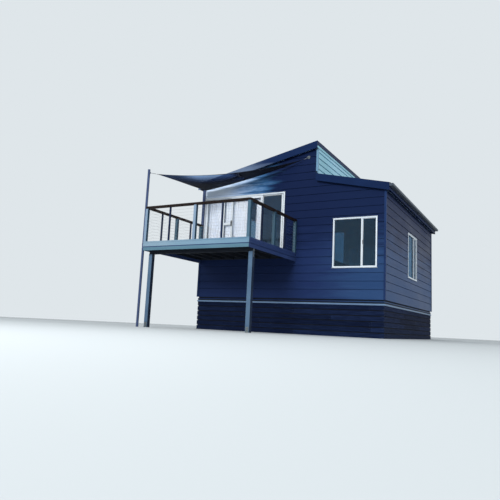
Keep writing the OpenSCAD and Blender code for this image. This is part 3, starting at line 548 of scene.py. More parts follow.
# at each corner the boards of both walls run on over the end of the frame, under the trim
past = cladding["deep"] + 1
doorL, doorR, stepX = house["doorL"], house["doorR"], ridge - 0.5
upRoof, lowRoof, sideCore = (upTop, -1), (lowTop, 1), (innerY + 0.5, innerBack - 0.5)
sideEnds = (wallY + past, backY - past)
walls = {
    "frontWallBase": (onFront, (leftX, stepX), (wallZ, deckZ - 0.5), wallPaint, [], None,
                      (leftX + past, stepX)),
    "frontWallLeft": (onFront, (leftX, doorL), (deckZ, 5200), highlightedWallPaint, [], upRoof, (leftX + past, doorL)),
    "frontWallHead": (onFront, (doorL + 0.5, doorR - 0.5), (house["headZ"], 5850), highlightedWallPaint, [], upRoof,
                      (doorL + 0.5, doorR - 0.5)),
    "frontWallMiddle": (onFront, (doorR, stepX), (deckZ, 5950), wallPaint, [], upRoof, (doorR, ridge - past)),
    "frontWallRight": (onFront, (ridge, rightX), (wallZ, 4900), wallPaint, [frontWindow], lowRoof,
                       (ridge, rightX - past)),
    "backWallLeft": (onBack, (leftX, stepX), (wallZ, 5950), wallPaint, [backLeftWindow], upRoof,
                     (leftX + past, ridge - past)),
    "backWallRight": (onBack, (ridge, rightX), (wallZ, 4900), wallPaint, [backRightWindow], lowRoof,
                      (ridge, rightX - past)),
    "leftWall": (onLeft, sideEnds, (wallZ, 5000), wallPaint, [leftWindow], upRoof, sideCore),
    "rightWall": (onRight, sideEnds, (wallZ, 4450), wallPaint, [rightWindow], lowRoof, sideCore),
    "clerestoryWall": (onHighWall, (wallY + 25, backY - 25), (lowTop(ridge) - house["roofT"], 5950),
                       clerestorySheenPaint, [], upRoof, sideCore, lowPeakZ + 2, narrowBoards),
}
for seed, (name, values) in enumerate(walls.items(), 1):
    cladWall(name, seed, *values)

trims = {"leg": 60, "thick": 10, "firstNail": 120, "lastNail": 60, "nailEvery": 450, "nailIn": 28,
         "nail": [(0, 4.5), (0.8, 4.5), (1.6, 2.5)]}


def cornerTrims():
    # folded angles over the corners where the boards meet
    bm = bmesh.new()
    t, leg, under = trims["thick"], trims["leg"] - trims["thick"], house["roofT"] + 0.5
    outline = [(-t, -t), (leg, -t), (leg, -0.3), (-0.3, -0.3), (-0.3, leg), (-t, leg)]
    for x, sx, z0, z1, finish in ((leftX, 1, wallZ, upTop(leftX - t) - under, 0),
                                  (rightX, -1, wallZ, lowTop(rightX + t) - under, 0),
                                  (ridge, -1, lowPeakZ + 1, upTop(ridge) - under - house["sheetT"], 1)):
        for y, sy in ((wallY, 1), (backY, -1)):
            bar(bm, [(x + sx * p, y + sy * q) for p, q in outline], z0, z1, alongZ, finish)
            for z in places(z0 + trims["firstNail"], z1 - trims["lastNail"], trims["nailEvery"]):
                at = (x + sx * (trims["leg"] - trims["nailIn"]), y - sy * t, z)
                stud(bm, at, (0, -sy, 0), trims["nail"], 10, finish)
    finishPiece(bm, "cornerTrims", [cornerPaint, ridgeTrimSheenPaint], "corner_paint", edge=1.5)


cornerTrims()
print("stage: walls clad")

# roofs: framed slabs under corrugated steel, edged with barge boards, fascias, cappings and gutters

roofing = {"wave": 76, "perWave": 8, "deep": 16, "metal": (2.2, 3.2), "inset": 27, "screwEvery": 152, "rows": 5,
           "fromEdge": 90, "screw": [(0, 8), (0.9, 7.5), (0.9, 4.5), (2.0, 4)]}


def roofSheet(name, lineTop, way, x0, x1):
    # one skin of waves running down the slope, with its folded thickness, and screws on every second crest
    bm = bmesh.new()
    wave, edge = roofing["wave"], roofing["fromEdge"]
    y0, y1 = roofFront + roofing["inset"], roofBack - roofing["inset"]
    n = round((y1 - y0) / wave * roofing["perWave"])
    rows = []
    for k in range(n + 1):
        y = y0 + (y1 - y0) * k / n
        crest = (math.cos(2 * math.pi * (y - y0) / wave) - 1) / 2 * roofing["deep"]
        rows.append([bm.verts.new((x, y, lineTop(x) + crest - low)) for x in (x0, x1)
                     for low in roofing["metal"]])
    for a, b in zip(rows, rows[1:]):
        for i, j in ((0, 2), (3, 1), (2, 3), (1, 0)):
            bm.faces.new([a[i], a[j], b[j], b[i]])
    for end in (rows[0], rows[-1]):
        bm.faces.new([end[0], end[1], end[3], end[2]])
    for r in range(roofing["rows"]):
        x = x0 + edge + (x1 - x0 - 2 * edge) * r / (roofing["rows"] - 1)
        for k in range(int((y1 - y0 - 100) / roofing["screwEvery"]) + 1):
            head = (x, y0 + wave * (1 + 2 * k), lineTop(x) - 2.4)
            stud(bm, head, (way * slope, 0, 1), roofing["screw"], 6, 1)
    finishPiece(bm, name, [roofPaint, stainless], "roof_steel", angle=50)


lip = 65  # how far the sheets reach over the gutters
roofSheet("upperRoofSheet", upTop, -1, roofLeft - lip, ridge + 24)
roofSheet("lowerRoofSheet", lowTop, 1, ridge + 2, roofRight + lip)


def eavesApart(bm):
    # the eaves are painted like the boards beside them, and the rest of the underside is the ceiling
    for point, normal in (((0, wallY, 0), (0, 1, 0)), ((0, backY, 0), (0, 1, 0)), ((leftX, 0, 0), (1, 0, 0)),
                          ((rightX, 0, 0), (1, 0, 0))):
        cutThrough(bm, point, normal, False)
    for f in bm.faces:
        c = f.calc_center_median()
        f.material_index = 0 if leftX < c.x < rightX and wallY < c.y < backY else 1


softened("upperRoof", "upper_roof", [ceilingPaint, trimPaint], "soffit_paint", 1, split=eavesApart)
softened("lowerRoof", "lower_roof", [ceilingPaint, trimPaint], "soffit_paint", 1, split=eavesApart)

barges = {"thick": 25, "deep": 230, "nailEvery": 600, "nailLows": (60, 190), "cap": 1.6, "capLeg": 42,
          "nail": [(-1, 4), (0.2, 3.6), (0.5, 1.5)], "capWide": 120, "apron": 140, "upstand": 90}


def sloped(lineTop, x0, x1, low, high):
    # a band between two depths under a roof line, as (x, z) points
    return [(x, lineTop(x) - under) for x, under in ((x0, low), (x1, low), (x1, high), (x0, high))]


def bargeBoards():
    bm, t, cap, leg = bmesh.new(), barges["thick"], barges["cap"], barges["capLeg"]
    for y, out in ((roofFront, 1), (roofBack - t, -1)):
        for lineTop, x0, x1 in ((upTop, roofLeft - t, ridge + t), (lowTop, ridge + 0.5, roofRight + t)):
            bar(bm, sloped(lineTop, x0, x1, barges["deep"], 2), y, y + t, alongY)
            face = (y if out > 0 else y + t) + 0.5 * out
            for x in places(x0 + 90, x1, barges["nailEvery"]):
                for low in barges["nailLows"]:
                    stud(bm, (x, face, lineTop(x) - low), (0, -out, 0), barges["nail"], 10)
    finishPiece(bm, "bargeBoards", [bargeHighlightPaint], "trim_paint", edge=2.5)
    # folded steel over each barge board and the first wave of the sheets
    bm = bmesh.new()
    for y, way in ((roofFront + 0.4, 1), (roofBack - 0.4, -1)):
        wide = sorted((y, y + way * (barges["capWide"] - 0.4)))
        edges = sorted((y - 0.2 * way, y + 1.0 * way))
        for lineTop, x0, x1 in ((upTop, roofLeft - t, ridge + t - 1), (lowTop, ridge + 1, roofRight + t)):
            bar(bm, sloped(lineTop, x0, x1, cap + 0.3, 0.3), *wide, alongY)
            bar(bm, sloped(lineTop, x0, x1, leg, cap), *edges, alongY)
    # the high edge of the upper roof, and the apron where the lower roof meets the clerestory
    far = ridge + t - 0.2
    for x0, low, high in ((ridge + t - barges["capWide"], cap + 0.5, 0.5), (far - 1, leg, cap)):
        bar(bm, sloped(upTop, x0, far, low, high), roofFront + 2, roofBack - 2, alongY)
    foot, end = lowTop(ridge), ridge + barges["apron"]
    head = foot + barges["upstand"]
    apron = [(ridge - 8, head), (ridge - 7, head), (ridge + 1.4, foot + 1.6), (end, lowTop(end) + 1.6),
             (end, lowTop(end) + 0.4), (ridge + 0.4, foot + 0.4)]
    bar(bm, apron, wallY - barges["apron"], backY + barges["apron"], alongY)
    finishPiece(bm, "roofCappings", [cappingPaint], "roof_steel")


bargeBoards()

fascia = {"deep": 180, "thick": 25, "below": 20, "strip": 100, "boardThick": 17}


def fasciaBoards():
    # a board along each eave; the high edge has a strip over one more board of the wall's cladding
    bm = bmesh.new()
    t, deep, thick = fascia["thick"], fascia["deep"], fascia["boardThick"]
    y0, y1 = roofFront + t + 0.3, roofBack - t - 0.3
    for x0, top in ((roofLeft - t, upTop(roofLeft - t) - fascia["below"]),
                    (roofRight, lowTop(roofRight + t) - fascia["below"])):
        box(bm, x0, x0 + t, y0, y1, top - deep, top)
    x0, top = ridge + 0.3, upTop(ridge) - fascia["below"]
    low, foot = top - fascia["strip"], top - deep
    box(bm, x0, ridge + t, y0, y1, low, top)
    bar(bm, [(x0, foot), (ridge + thick, foot), (ridge + thick - 4, low - 3), (x0, low - 3)], y0, y1, alongY, 1)
    finishPiece(bm, "fasciaBoards", [trimPaint, clerestorySheenPaint], "trim_paint", "fascias", edge=2)


fasciaBoards()

gutter = {"wide": 115, "high": 75, "metal": 1.6, "lip": 7, "behind": 25, "below": 26, "strapEvery": 900}


def gutters():
    # quad gutters: a square trough with a rolled front lip, stopped ends and straps
    bm = bmesh.new()
    wide, high, m, rim = gutter["wide"], gutter["high"], gutter["metal"], gutter["lip"]
    profile = [(0.2, -0.2), (0.2, 6 - high), (3, 1 - high), (8, -high), (wide - 14, -high),
               (wide - 5, 3 - high), (wide - 1.5, 9 - high), (wide, -rim)]
    turns = [math.radians(degrees) for degrees in range(20, 251, 23)]
    loop = profile + [(wide - rim + rim * math.cos(t), -rim + rim * math.sin(t)) for t in turns]
    inside = []
    for i, (u, z) in enumerate(loop):
        way = (Vector(loop[min(i + 1, len(loop) - 1)]) - Vector(loop[max(i - 1, 0)])).normalized()
        inside.append((u - way.y * m, z + way.x * m))
    for edge, lineTop, out in ((roofLeft, upTop, -1), (roofRight, lowTop, 1)):
        back = edge + out * gutter["behind"]
        top = lineTop(back) - gutter["below"] - 40 * slope
        outline = [(back + out * u, top + z) for u, z in loop + inside[::-1]]
        bar(bm, outline, roofFront + m, roofBack - m, alongY)
        for end in (roofFront, roofBack - m):
            stop = profile + [(wide - rim, -0.2)]
            bar(bm, [(back + out * u, top + z) for u, z in stop], end, end + m, alongY)
        for y in places(roofFront + 250, roofBack - 100, gutter["strapEvery"]):
            across = sorted((back + out * 0.5, back + out * (wide - rim)))
            box(bm, *across, y, y + 20, top - 3.4, top - 2.2)
    finishPiece(bm, "gutterTroughs", [roofPaint], "roof_steel", "gutters", angle=50)


gutters()
print("stage: roofs made")

# base: stumps, rails, plates and the slatted skirt, and the floors above them

softened("stumpTimbers", "stumps", [baseTimber], "base_timber", 4)
base = {"rail": (925, 973), "railSet": 10, "railT": 20, "backing": 89, "batten": (1015, 1043), "battenSet": 25,
        "battenT": 22, "plateSet": 48, "plateT": 71}


def aroundBase(bm, inset, thick, z0, z1, finish=0, gap=2):
    # four straight lengths around the house, set back from the wall faces
    x0, x1, y0, y1 = leftX + inset, rightX - inset, wallY + inset, backY - inset
    for y in (y0, y1 - thick):
        box(bm, x0, x1, y, y + thick, z0, z1, finish)
    for x in (x0, x1 - thick):
        box(bm, x, x + thick, y0 + thick + gap, y1 - thick - gap, z0, z1, finish)


def baseLengths():
    # a painted rail with a dark rebate over it, then a batten and the plate in its shade
    bm = bmesh.new()
    aroundBase(bm, base["railSet"], base["railT"], *base["rail"])
    behind = base["railSet"] + base["railT"] + 0.3
    aroundBase(bm, behind, base["backing"], base["rail"][0], railTopZ - 0.3, 1)
    finishPiece(bm, "baseRails", [baseRailPaint, baseTimber], "base_rail_paint", edge=2.5)
    bm = bmesh.new()
    aroundBase(bm, base["battenSet"], base["battenT"], *base["batten"], 1)
    aroundBase(bm, base["plateSet"], base["plateT"], railTopZ + 0.3, wallZ - 0.5)
    finishPiece(bm, "sillPlates", [baseTimber, wallPaint], "base_timber", edge=2)


baseLengths()
softened("stepWall", "step_wall", [plasterPaint], "plaster", 1)
softened("clerestoryBeam", "clerestory_beam", [plasterPaint], "plaster", 3)

skirt = {"rows": 6, "gap": 24, "thick": 20, "inset": 30, "top": 925, "lengths": (2400, 3000, 3600),
         "last": 3000, "stagger": 600, "nail": [(-0.5, 3.6), (0.5, 3.4), (0.9, 1.2)], "mesh": 1.2}


def baseboards():
    # rough sawn boards nailed across the stumps, butted at odd lengths
    bm = bmesh.new()
    dice = random.Random(21)
    inset, t = skirt["inset"], skirt["thick"]
    pitch = (skirt["top"] + skirt["gap"]) / skirt["rows"]
    across, deep = (leftX + inset, rightX - inset), (wallY + inset + t + 2, backY - inset - t - 2)
    for (u0, u1), along, d, out in ((across, alongX, wallY + inset, -1), (across, alongX, backY - inset - t, 1),
                                    (deep, alongY, leftX + inset, -1), (deep, alongY, rightX - inset - t, 1)):
        for row in range(skirt["rows"]):
            z0, z1 = row * pitch + dice.uniform(0, 2), (row + 1) * pitch - skirt["gap"]
            u = u0
            while u < u1:
                cut = skirt["stagger"] if row % 2 and u == u0 else 0
                far = u1 if u1 - u < skirt["last"] else min(u1, u + dice.choice(skirt["lengths"]) - cut)
                proud = dice.uniform(0, 1.2)
                low, high = (d, d + t - proud) if out > 0 else (d + proud, d + t)
                end = far - (2 if far < u1 else 0)
                bar(bm, [(low, z0), (high, z0), (high, z1), (low, z1)], u, end, along)
                face = high if out > 0 else low
                for v in (u + 30, end - 30):
                    for z in (z0 + 28, z1 - 28):
                        stud(bm, along(v, face, z), along(0, out, 0), skirt["nail"], 8, 1)
                u = far
    finishPiece(bm, "skirtBoards", [baseBoardTimber, galvanised], "base_timber", "baseboards", edge=1.5,
                steps=1)
    # fine dark mesh stapled behind the boards keeps animals out, and closes the view through the base: a dark
    # sheet as painted shade under the house
    bm = bmesh.new()
    aroundBase(bm, inset + t + 1, skirt["mesh"], 2, skirt["top"] - 2, gap=0)
    finishPiece(bm, "verminMesh", [darkMeshAsShade], "base_timber")


baseboards()

flooring = {"cover": 130, "gap": 1.2, "board": 19, "ease": 1.0, "lengths": (2100, 3300, 4200)}


def boardedFloor(name, seed, x0, x1, z0, z1):
    # boards along the house over the floor's frame
    bm = bmesh.new()
    dice = random.Random(seed)
    foot, c = z1 - flooring["board"], flooring["ease"]
    box(bm, x0, x1, innerY, innerBack, z0, foot - 0.5, 1)
    n = round((x1 - x0) / flooring["cover"])
    for i in range(n):
        a, b = x0 + i * (x1 - x0) / n, x0 + (i + 1) * (x1 - x0) / n - flooring["gap"]
        outline = [(a, foot), (b, foot), (b, z1 - c), (b - c, z1), (a + c, z1), (a, z1 - c)]
        y = innerY
        while y < innerBack:
            far = y + dice.choice(flooring["lengths"]) * (dice.uniform(0.3, 1) if y == innerY else 1)
            far = innerBack if far > innerBack - 700 else far
            bar(bm, outline, y, far - (0.8 if far < innerBack else 0), alongY)
            y = far
    finishPiece(bm, name, [floorTimber, baseTimber], "floor_boards")


boardedFloor("lowerFloor", 31, ridge - house["wall"], rightX - house["wall"], railTopZ, house["lowFloorZ"])
boardedFloor("upperFloor", 32, leftX + house["wall"], ridge, deckZ - 220, deckZ)
print("stage: base and floors made")

# windows: powder coated frames, one fixed light and one sliding sash in each

windowParts = {"frame": 36, "proud": 10, "deep": 90, "bead": 6, "sash": 16, "seal": 4, "glass": 8, "glassY": 33,
               "beads": ((-16, -2, -2, -0.1), (10, 22, 8.1, 10)), "sashSeals": ((-1.9, -0.2), (8.2, 9.9)),
               "nosing": ((18, 0), (-24, 0), (-26, 3), (-26, 6)), "ends": 18,
               "nosings": ((-14, 13.5), (windowH + 0.5, 10))}


def turned(x, y, z, degrees):
    # where a window stands: across its width, into the wall and up
    c, s = math.cos(math.radians(degrees)), math.sin(math.radians(degrees))
    return lambda u, d, v: (x + u * c - d * s, y + u * s + d * c, z + v)


def pane(bm, hole, inset, d0, d1, place=alongX):
    box(bm, hole[0] + inset, hole[1] - inset, d0, d1, hole[2] + inset, hole[3] - inset, 0, place)


def windowUnits():
    bm, glass = bmesh.new(), bmesh.new()
    p = windowParts
    f, m, s, y = p["frame"], windowSize["mullion"], p["sash"], p["glassY"]
    fixed, sliding = (f, m - f / 2, f, windowH - f), (m + f / 2, windowW - f, f, windowH - f)
    whole, catch = (0, windowW, 0, windowH), sliding[0] + 3
    for place in (turned(frontWindow[0], wallY, sillLow, 0), turned(backLeftWindow[1], backY, sillHigh, 180),
                  turned(backRightWindow[1], backY, sillLow, 180), turned(rightX, rightWindow[0], sillLow, 90),
                  turned(leftX, leftWindow[1], sillHigh, -90)):
        panel(bm, whole[:2], whole[2:], [fixed, sliding], -p["proud"], p["deep"], place)
        ring(bm, whole, -0.2, 5, -2, 1.5, place, 1)  # seal between the frame and the boards
        # the fixed light on the left: bead and seal each side of the pane
        for d0, d1, e0, e1 in p["beads"]:
            ring(bm, fixed, 0.1, p["bead"], y + d0, y + d1, place)
            ring(bm, fixed, 2, p["bead"] + p["seal"] - 2, y + e0, y + e1, place, 1)
        # the sliding sash on the right, with its own rails and a catch on the meeting stile
        ring(bm, sliding, 0.1, s, y - 12, y + 20, place)
        for d0, d1 in p["sashSeals"]:
            ring(bm, sliding, s - 1, p["seal"] + 1, y + d0, y + d1, place, 1)
        box(bm, catch, catch + 10, y - 20, y - 12, windowH / 2 - 60, windowH / 2 + 60, 2, place)
        # sloped sill nosing and the drip over the head
        for z, high in p["nosings"]:
            outline = [(d, z + k) for d, k in (*p["nosing"], (18, high))]
            bar(bm, outline, -p["ends"], windowW + p["ends"], place)
        pane(glass, fixed, 3, y, y + p["glass"], place)
        pane(glass, sliding, s - 6, y, y + p["glass"], place)
    finishPiece(bm, "windowFrames", [powderCoat, sealRubber, blackNylon], "white_aluminium", edge=1.6)
    finishPiece(glass, "windowGlass", [windowGlass], "window_glass", edge=0.6, steps=1)


windowUnits()

# door unit: a frame with its tracks, three fixed lights behind and one sliding leaf in front

doors = {"jamb": 45, "head": 38, "y0": 2990, "y1": 3108, "channel": 25, "channelSet": 30, "topRail": 20,
         "thick": 35, "leafY": 3015, "leafL": -2475, "leafR": -1275, "leafGap": 8, "fixedY": 3060,
         "fixedEnd": -2415, "fixedStart": -1335, "narrow": 300, "midZ": 3550, "stile": 60, "bead": 12,
         "seal": 4, "track": 4, "trackHigh": 7, "drain": 30, "drainIn": 300, "drainZ": (14, 18),
         "wheel": [(0, 7), (1, 7.2), (3, 5.6), (5, 5.6), (7, 7.2), (8, 7)]}
inL, channelR = doorL + doors["jamb"], doorR - doors["jamb"]
inR = channelR - doors["channel"]
inZ0, inZ1 = deckZ + doors["head"], house["headZ"] - doors["head"]
stile, doorY = doors["stile"], doors["y0"]


def glaze(bm, glass, light, y0, ease):
    # beads each side of a pane, and the seals between them and the pane
    y1 = y0 + doors["thick"]
    for d0, d1 in ((y0 + 1.5, y0 + 11), (y1 - 11, y1 - 1.5)):
        ring(bm, light, ease, doors["bead"], d0, d1)
    for d0, d1 in ((y0 + 11, y0 + 13.4), (y1 - 13.4, y1 - 11)):
        ring(bm, light, 2, doors["bead"] + doors["seal"] - 2, d0, d1, finish=1)
    pane(glass, light, 2, y0 + 13.5, y0 + 21.5)


def doorUnit():
    bm, headZ, thick = bmesh.new(), house["headZ"], doors["thick"]
    opening = (inL, channelR, inZ0, inZ1)
    panel(bm, [doorL + 0.5, doorR - 0.5], [deckZ + 0.5, headZ - 0.5], [opening], doorY, doors["y1"])
    # the channel beside the right jamb, which takes an insect screen and is lined with dark brush seal; the
    # dark lining also stands as painted shade in the channel
    back = doorY + doors["channelSet"]
    box(bm, inR, channelR - 0.3, back, doors["y1"], inZ0 + 0.3, inZ1 - 0.3)
    box(bm, inR + 0.5, channelR - 0.6, back - 1.5, back - 0.2, inZ0 + 0.6, inZ1 - 0.6, 1)
    # two tracks on the sill and two channels under the head, with drain slots in the sill's face, drawn as dark
    # patches: painted shade for the slots
    for y in (doors["leafY"] - 6, doors["leafY"] + thick + 2.5, doors["fixedY"] + thick + 2):
        for z0, z1 in ((inZ0 - 0.2, inZ0 + doors["trackHigh"]), (inZ1 - doors["trackHigh"], inZ1 + 0.2)):
            box(bm, inL + 0.2, inR - 0.2, y, y + doors["track"], z0, z1)
    slot, (z0, z1) = doors["drain"], doors["drainZ"]
    for x in (inL + doors["drainIn"], (inL + inR) / 2, inR - doors["drainIn"] - slot):
        box(bm, x, x + slot, doorY - 0.6, doorY + 0.5, deckZ + z0, deckZ + z1, 1)
    # sill nosing over the deck and a drip over the head
    for z, past, outline in ((deckZ, -2, [(-22, 1), (4, 1), (4, 22), (-22, 12)]),
                             (headZ, 14, [(-16, 0), (12, 0), (12, 12), (-14, 4)])):
        bar(bm, [(doorY + d, z + k) for d, k in outline], doorL - past, doorR + past)
    finishPiece(bm, "doorFrame", [powderCoat, sealRubber], "white_aluminium", edge=1.8)

    fixed, glass = bmesh.new(), bmesh.new()
    y0, foot, top, far = doors["fixedY"], inZ0 + stile, inZ1 - doors["topRail"], doors["fixedEnd"] - stile
    narrowL = far - doors["narrow"]
    left = [(inL + stile, narrowL - stile, foot, top), (narrowL, far, foot, doors["midZ"]),
            (narrowL, far, doors["midZ"] + stile, top)]
    right = [(doors["fixedStart"] + stile, inR - stile, foot, top)]
    for ends, lights in (((inL + 0.2, doors["fixedEnd"]), left), ((doors["fixedStart"], inR - 0.2), right)):
        panel(fixed, ends, [inZ0 + 0.2, inZ1 - 0.2], lights, y0, y0 + thick)
        for light in lights:
            glaze(fixed, glass, light, y0, 0.1)
    finishPiece(fixed, "doorFixedLights", [powderCoat, sealRubber], "white_aluminium", edge=1.8)
    finishPiece(glass, "doorGlass", [doorGlass], "window_glass", edge=0.6, steps=1)


doorUnit()
pull = {"up": 1080, "half": 100, "foot": 11, "reach": 42, "bend": 16, "r": 9.6, "footR": 10.6,
        "plate": (23, 3, 4)}


def slidingLeaf():
    bm, glass = bmesh.new(), bmesh.new()
    y0, left, right = doors["leafY"], doors["leafL"], doors["leafR"]
    z0, z1 = inZ0 + doors["leafGap"], inZ1 - doors["leafGap"]
    a, b = left + stile, right - stile
    ring(bm, (left, right, z0, z1), 0, stile, y0, y0 + doors["thick"])
    glaze(bm, glass, (a, b, z0 + stile, z1 - stile), y0, -0.2)
    # wheels in the bottom rail, two at each end
    for x in (a + 20, a + 60, b - 60, b - 20):
        stud(bm, (x, y0 + doors["thick"] / 2 - 4, z0 - 0.5), (0, 1, 0), doors["wheel"], 18, 2)
    # a groove down each stile where its two halves snap together
    for x in (left + stile / 2, right - stile / 2):
        box(bm, x - 1, x + 1, y0 - 0.4, y0 + 0.4, z0 + 70, z1 - 70, 1)
    rides = {"body": "sliding_leaf"}
    finishPiece(bm, "leafFrame", [powderCoat, sealRubber, blackNylon], "white_aluminium", edge=1.8, **rides)
    finishPiece(glass, "leafGlass", [doorGlass], "window_glass", edge=0.6, steps=1, **rides)

    # the pull: a bent bar on two feet, and the plate that both feet are screwed through
    bm = bmesh.new()
    x, middle, half, bend = left + stile / 2, deckZ + pull["up"], pull["half"], pull["bend"]
    low = middle - half + pull["foot"]
    arc = [math.radians(15 * k) for k in range(7)]
    path = [(x, y0 - 1, low)] + [(x, y0 - pull["reach"] + pull["foot"] + bend * (1 - math.sin(t)),
                                  low + bend * (1 - math.cos(t))) for t in arc]
    path += [(x, y, 2 * middle - z) for x, y, z in path[::-1]]
    tube(bm, path, [pull["footR"]] + [pull["r"]] * (len(path) - 2) + [pull["footR"]], 16)
    for z in (low, 2 * middle - low):
        stud(bm, (x, y0 - 0.3, z), (0, -1, 0), [(0, 11), (3, 11), (4, 10)], 20)
    wide, thick, less = pull["plate"]
    box(bm, x - wide, x + wide, y0 - thick, y0 - 0.2, middle - half + less, middle + half - less)
    finishPiece(bm, "leafPull", [blackNylon], "black_pull", angle=50, **rides)


slidingLeaf()
print("stage: windows and doors made")

# curtains: gathered on a rail behind the doors

curtains = {"y": 3195, "halfDeep": 26, "bottom": 2526, "top": 4517, "pleat": 92, "endPleat": 34, "sway": 9,
            "perFold": 16, "rows": 40, "thread": 0.9, "left": (-3505, -2865), "right": (-2795, -1895),
            "end": (-1575, -1405)}
curtainRail = {"z": 4533, "start": -3513, "brackets": (-3467, -2015, -592), "hoop": 12.5, "hoopR": 1.6,
               "turned": [(0, 11), (2, 13.5), (12, 13.5), (14, 10), (18, 10), (2964, 10), (2968, 10),
                          (2970, 13.5), (2978, 13.5), (2980, 11)]}


def makeCurtain(name, node, span, seed, pleat=curtains["pleat"]):
    # soft folds that start tight at the heading tape and open towards the hem
    c = curtains
    dice = random.Random(seed)
    x0, x1 = span
    folds, rows = round((x1 - x0) / pleat), c["rows"]
    sway, n = c["sway"] * pleat / c["pleat"], folds * c["perFold"]
    swing = [dice.uniform(0.72, 1.0) for _ in range(folds + 1)]
    lean = [dice.uniform(-0.6, 0.6) for _ in range(folds + 1)]
    grid = []
    for r in range(rows + 1):
        t = r / rows
        opened = (1 - t) ** 0.7
        line = []
        for i in range(n + 1):
            phase = 2 * math.pi * i / c["perFold"]
            k = min(i // c["perFold"], folds - 1)
            part = i / c["perFold"] % 1
            big, bend = (side[k] * (1 - part) + side[k + 1] * part for side in (swing, lean))
            deep = c["halfDeep"] * (0.55 + 0.45 * opened) * big
            y = c["y"] + deep * math.sin(phase + bend * opened) + 2.5 * math.sin(3.1 * t * math.pi + k)
            drift = sway * math.sin(2 * phase + 0.8) * (0.3 + 0.7 * opened) * min(1, i / 6, (n - i) / 6)
            line.append(Vector((x0 + (x1 - x0) * i / n + drift, y, c["bottom"] + (c["top"] - c["bottom"]) * t)))
        grid.append(line)
    bm = bmesh.new()
    vs = [[bm.verts.new(p) for p in line] for line in grid]
    for low, high in zip(vs, vs[1:]):
        for i in range(n):
            bm.faces.new([low[i], low[i + 1], high[i + 1], high[i]])
    piece = finishPiece(bm, name, [curtainCloth], "curtain_cloth", node, angle=80)
    thick = piece.modifiers.new("thread", "SOLIDIFY")
    thick.thickness, thick.offset = c["thread"] / 1000, 0


def makeRail():
    bm = bmesh.new()
    y, z, pleat = curtains["y"], curtainRail["z"], curtains["pleat"]
    stud(bm, (curtainRail["start"], y, z), (1, 0, 0), curtainRail["turned"], 20)
    for x in curtainRail["brackets"]:
        box(bm, x, x + 14, innerY + 0.3, y, z - 6, z + 4)
        box(bm, x - 8, x + 22, innerY + 0.3, innerY + 4, z - 22, z + 20)
        stud(bm, (x + 7, y - 13, z), (0, 1, 0), [(0, 9), (1, 12.5), (25, 12.5), (26, 9)], 16)
    for span, pitch in (("left", pleat), ("right", pleat), ("end", curtains["endPleat"])):
        for x in places(curtains[span][0] + 20, curtains[span][1], pitch):
            hoop(bm, (x, y, z), (0, 1, 0), (0, 0, 1), curtainRail["hoop"], curtainRail["hoopR"], 6, 1)
    finishPiece(bm, "curtainRail", [powderCoat, galvanised], "white_aluminium", edge=1)


makeRail()
makeCurtain("curtainLeft", "curtain_left", curtains["left"], 41)
makeCurtain("curtainRight", "curtain_right", curtains["right"], 42)
makeCurtain("curtainEnd", "curtain_right", curtains["end"], 43, curtains["endPleat"])

# deck: posts, bearer, joists, boards and fascias

deck = {"wide": 3600, "fascia": 25, "boardT": 22, "joistH": 140, "bearerH": 180, "board": 89, "boardGap": 4,
        "joists": 9, "joistT": 45, "ease": 2.5, "screw": [(0, 4.4), (0.9, 4.2), (0.9, 2), (0.5, 1.2)],
        "edging": (0, 0, 45), "upper": (2, 46.5, 150), "lower": (8, 172, 270), "backing": 19,
        "coach": [(-1, 6.2), (0.0, 6.2), (0.0, 5.4), (0.6, 4)], "postY": 270, "postW": 125}


def deckBoards():
    # boards laid along the front, screwed to each joist
    bm = bmesh.new()
    dice = random.Random(51)
    x0, x1, y0 = -deck["wide"] + deck["fascia"], -deck["fascia"], deck["fascia"]
    gap, joistT, z1, c = deck["boardGap"], deck["joistT"], deckZ, deck["ease"]
    n = round((wallY - y0) / (deck["board"] + gap))
    pitch = (wallY - y0 + gap / 2) / n
    step = (x1 - x0 - joistT) / (deck["joists"] - 1)
    joistXs = [x0 + joistT / 2 + i * step for i in range(deck["joists"])]
    z0 = z1 - deck["boardT"]
    for k in range(n):
        a, b = y0 + k * pitch + 1, y0 + (k + 1) * pitch - gap
        split = joistXs[2 + (3 * k) % 5] if k % 3 else None
        lift = dice.uniform(-0.4, 0)
        high = z1 + lift
        outline = [(a, z0), (b, z0), (b, high - c), (b - 0.8, high - 0.8), (b - c, high), (a + c, high),
                   (a + 0.8, high - 0.8), (a, high - c)]
        for p, q in ([(x0, split - 1), (split + 1, x1)] if split else [(x0, x1)]):
            bar(bm, outline, p, q)
        for x in joistXs:
            for y in (a + 20, b - 20):
                for near in ((-9, 9) if split == x else (0,)):
                    stud(bm, (x + near, y, high - 0.7), upward, deck["screw"], 8, 1)
    finishPiece(bm, "deckFloor", [deckTimber, stainless], "deck_timber", angle=50)


def paintShadeOnSides(bm):
    # the faces that look left and right take the second finish, a darker paint as painted shade
    bm.normal_update()
    for f in bm.faces:
        f.material_index = 1 if abs(f.normal.x) > 0.5 else 0


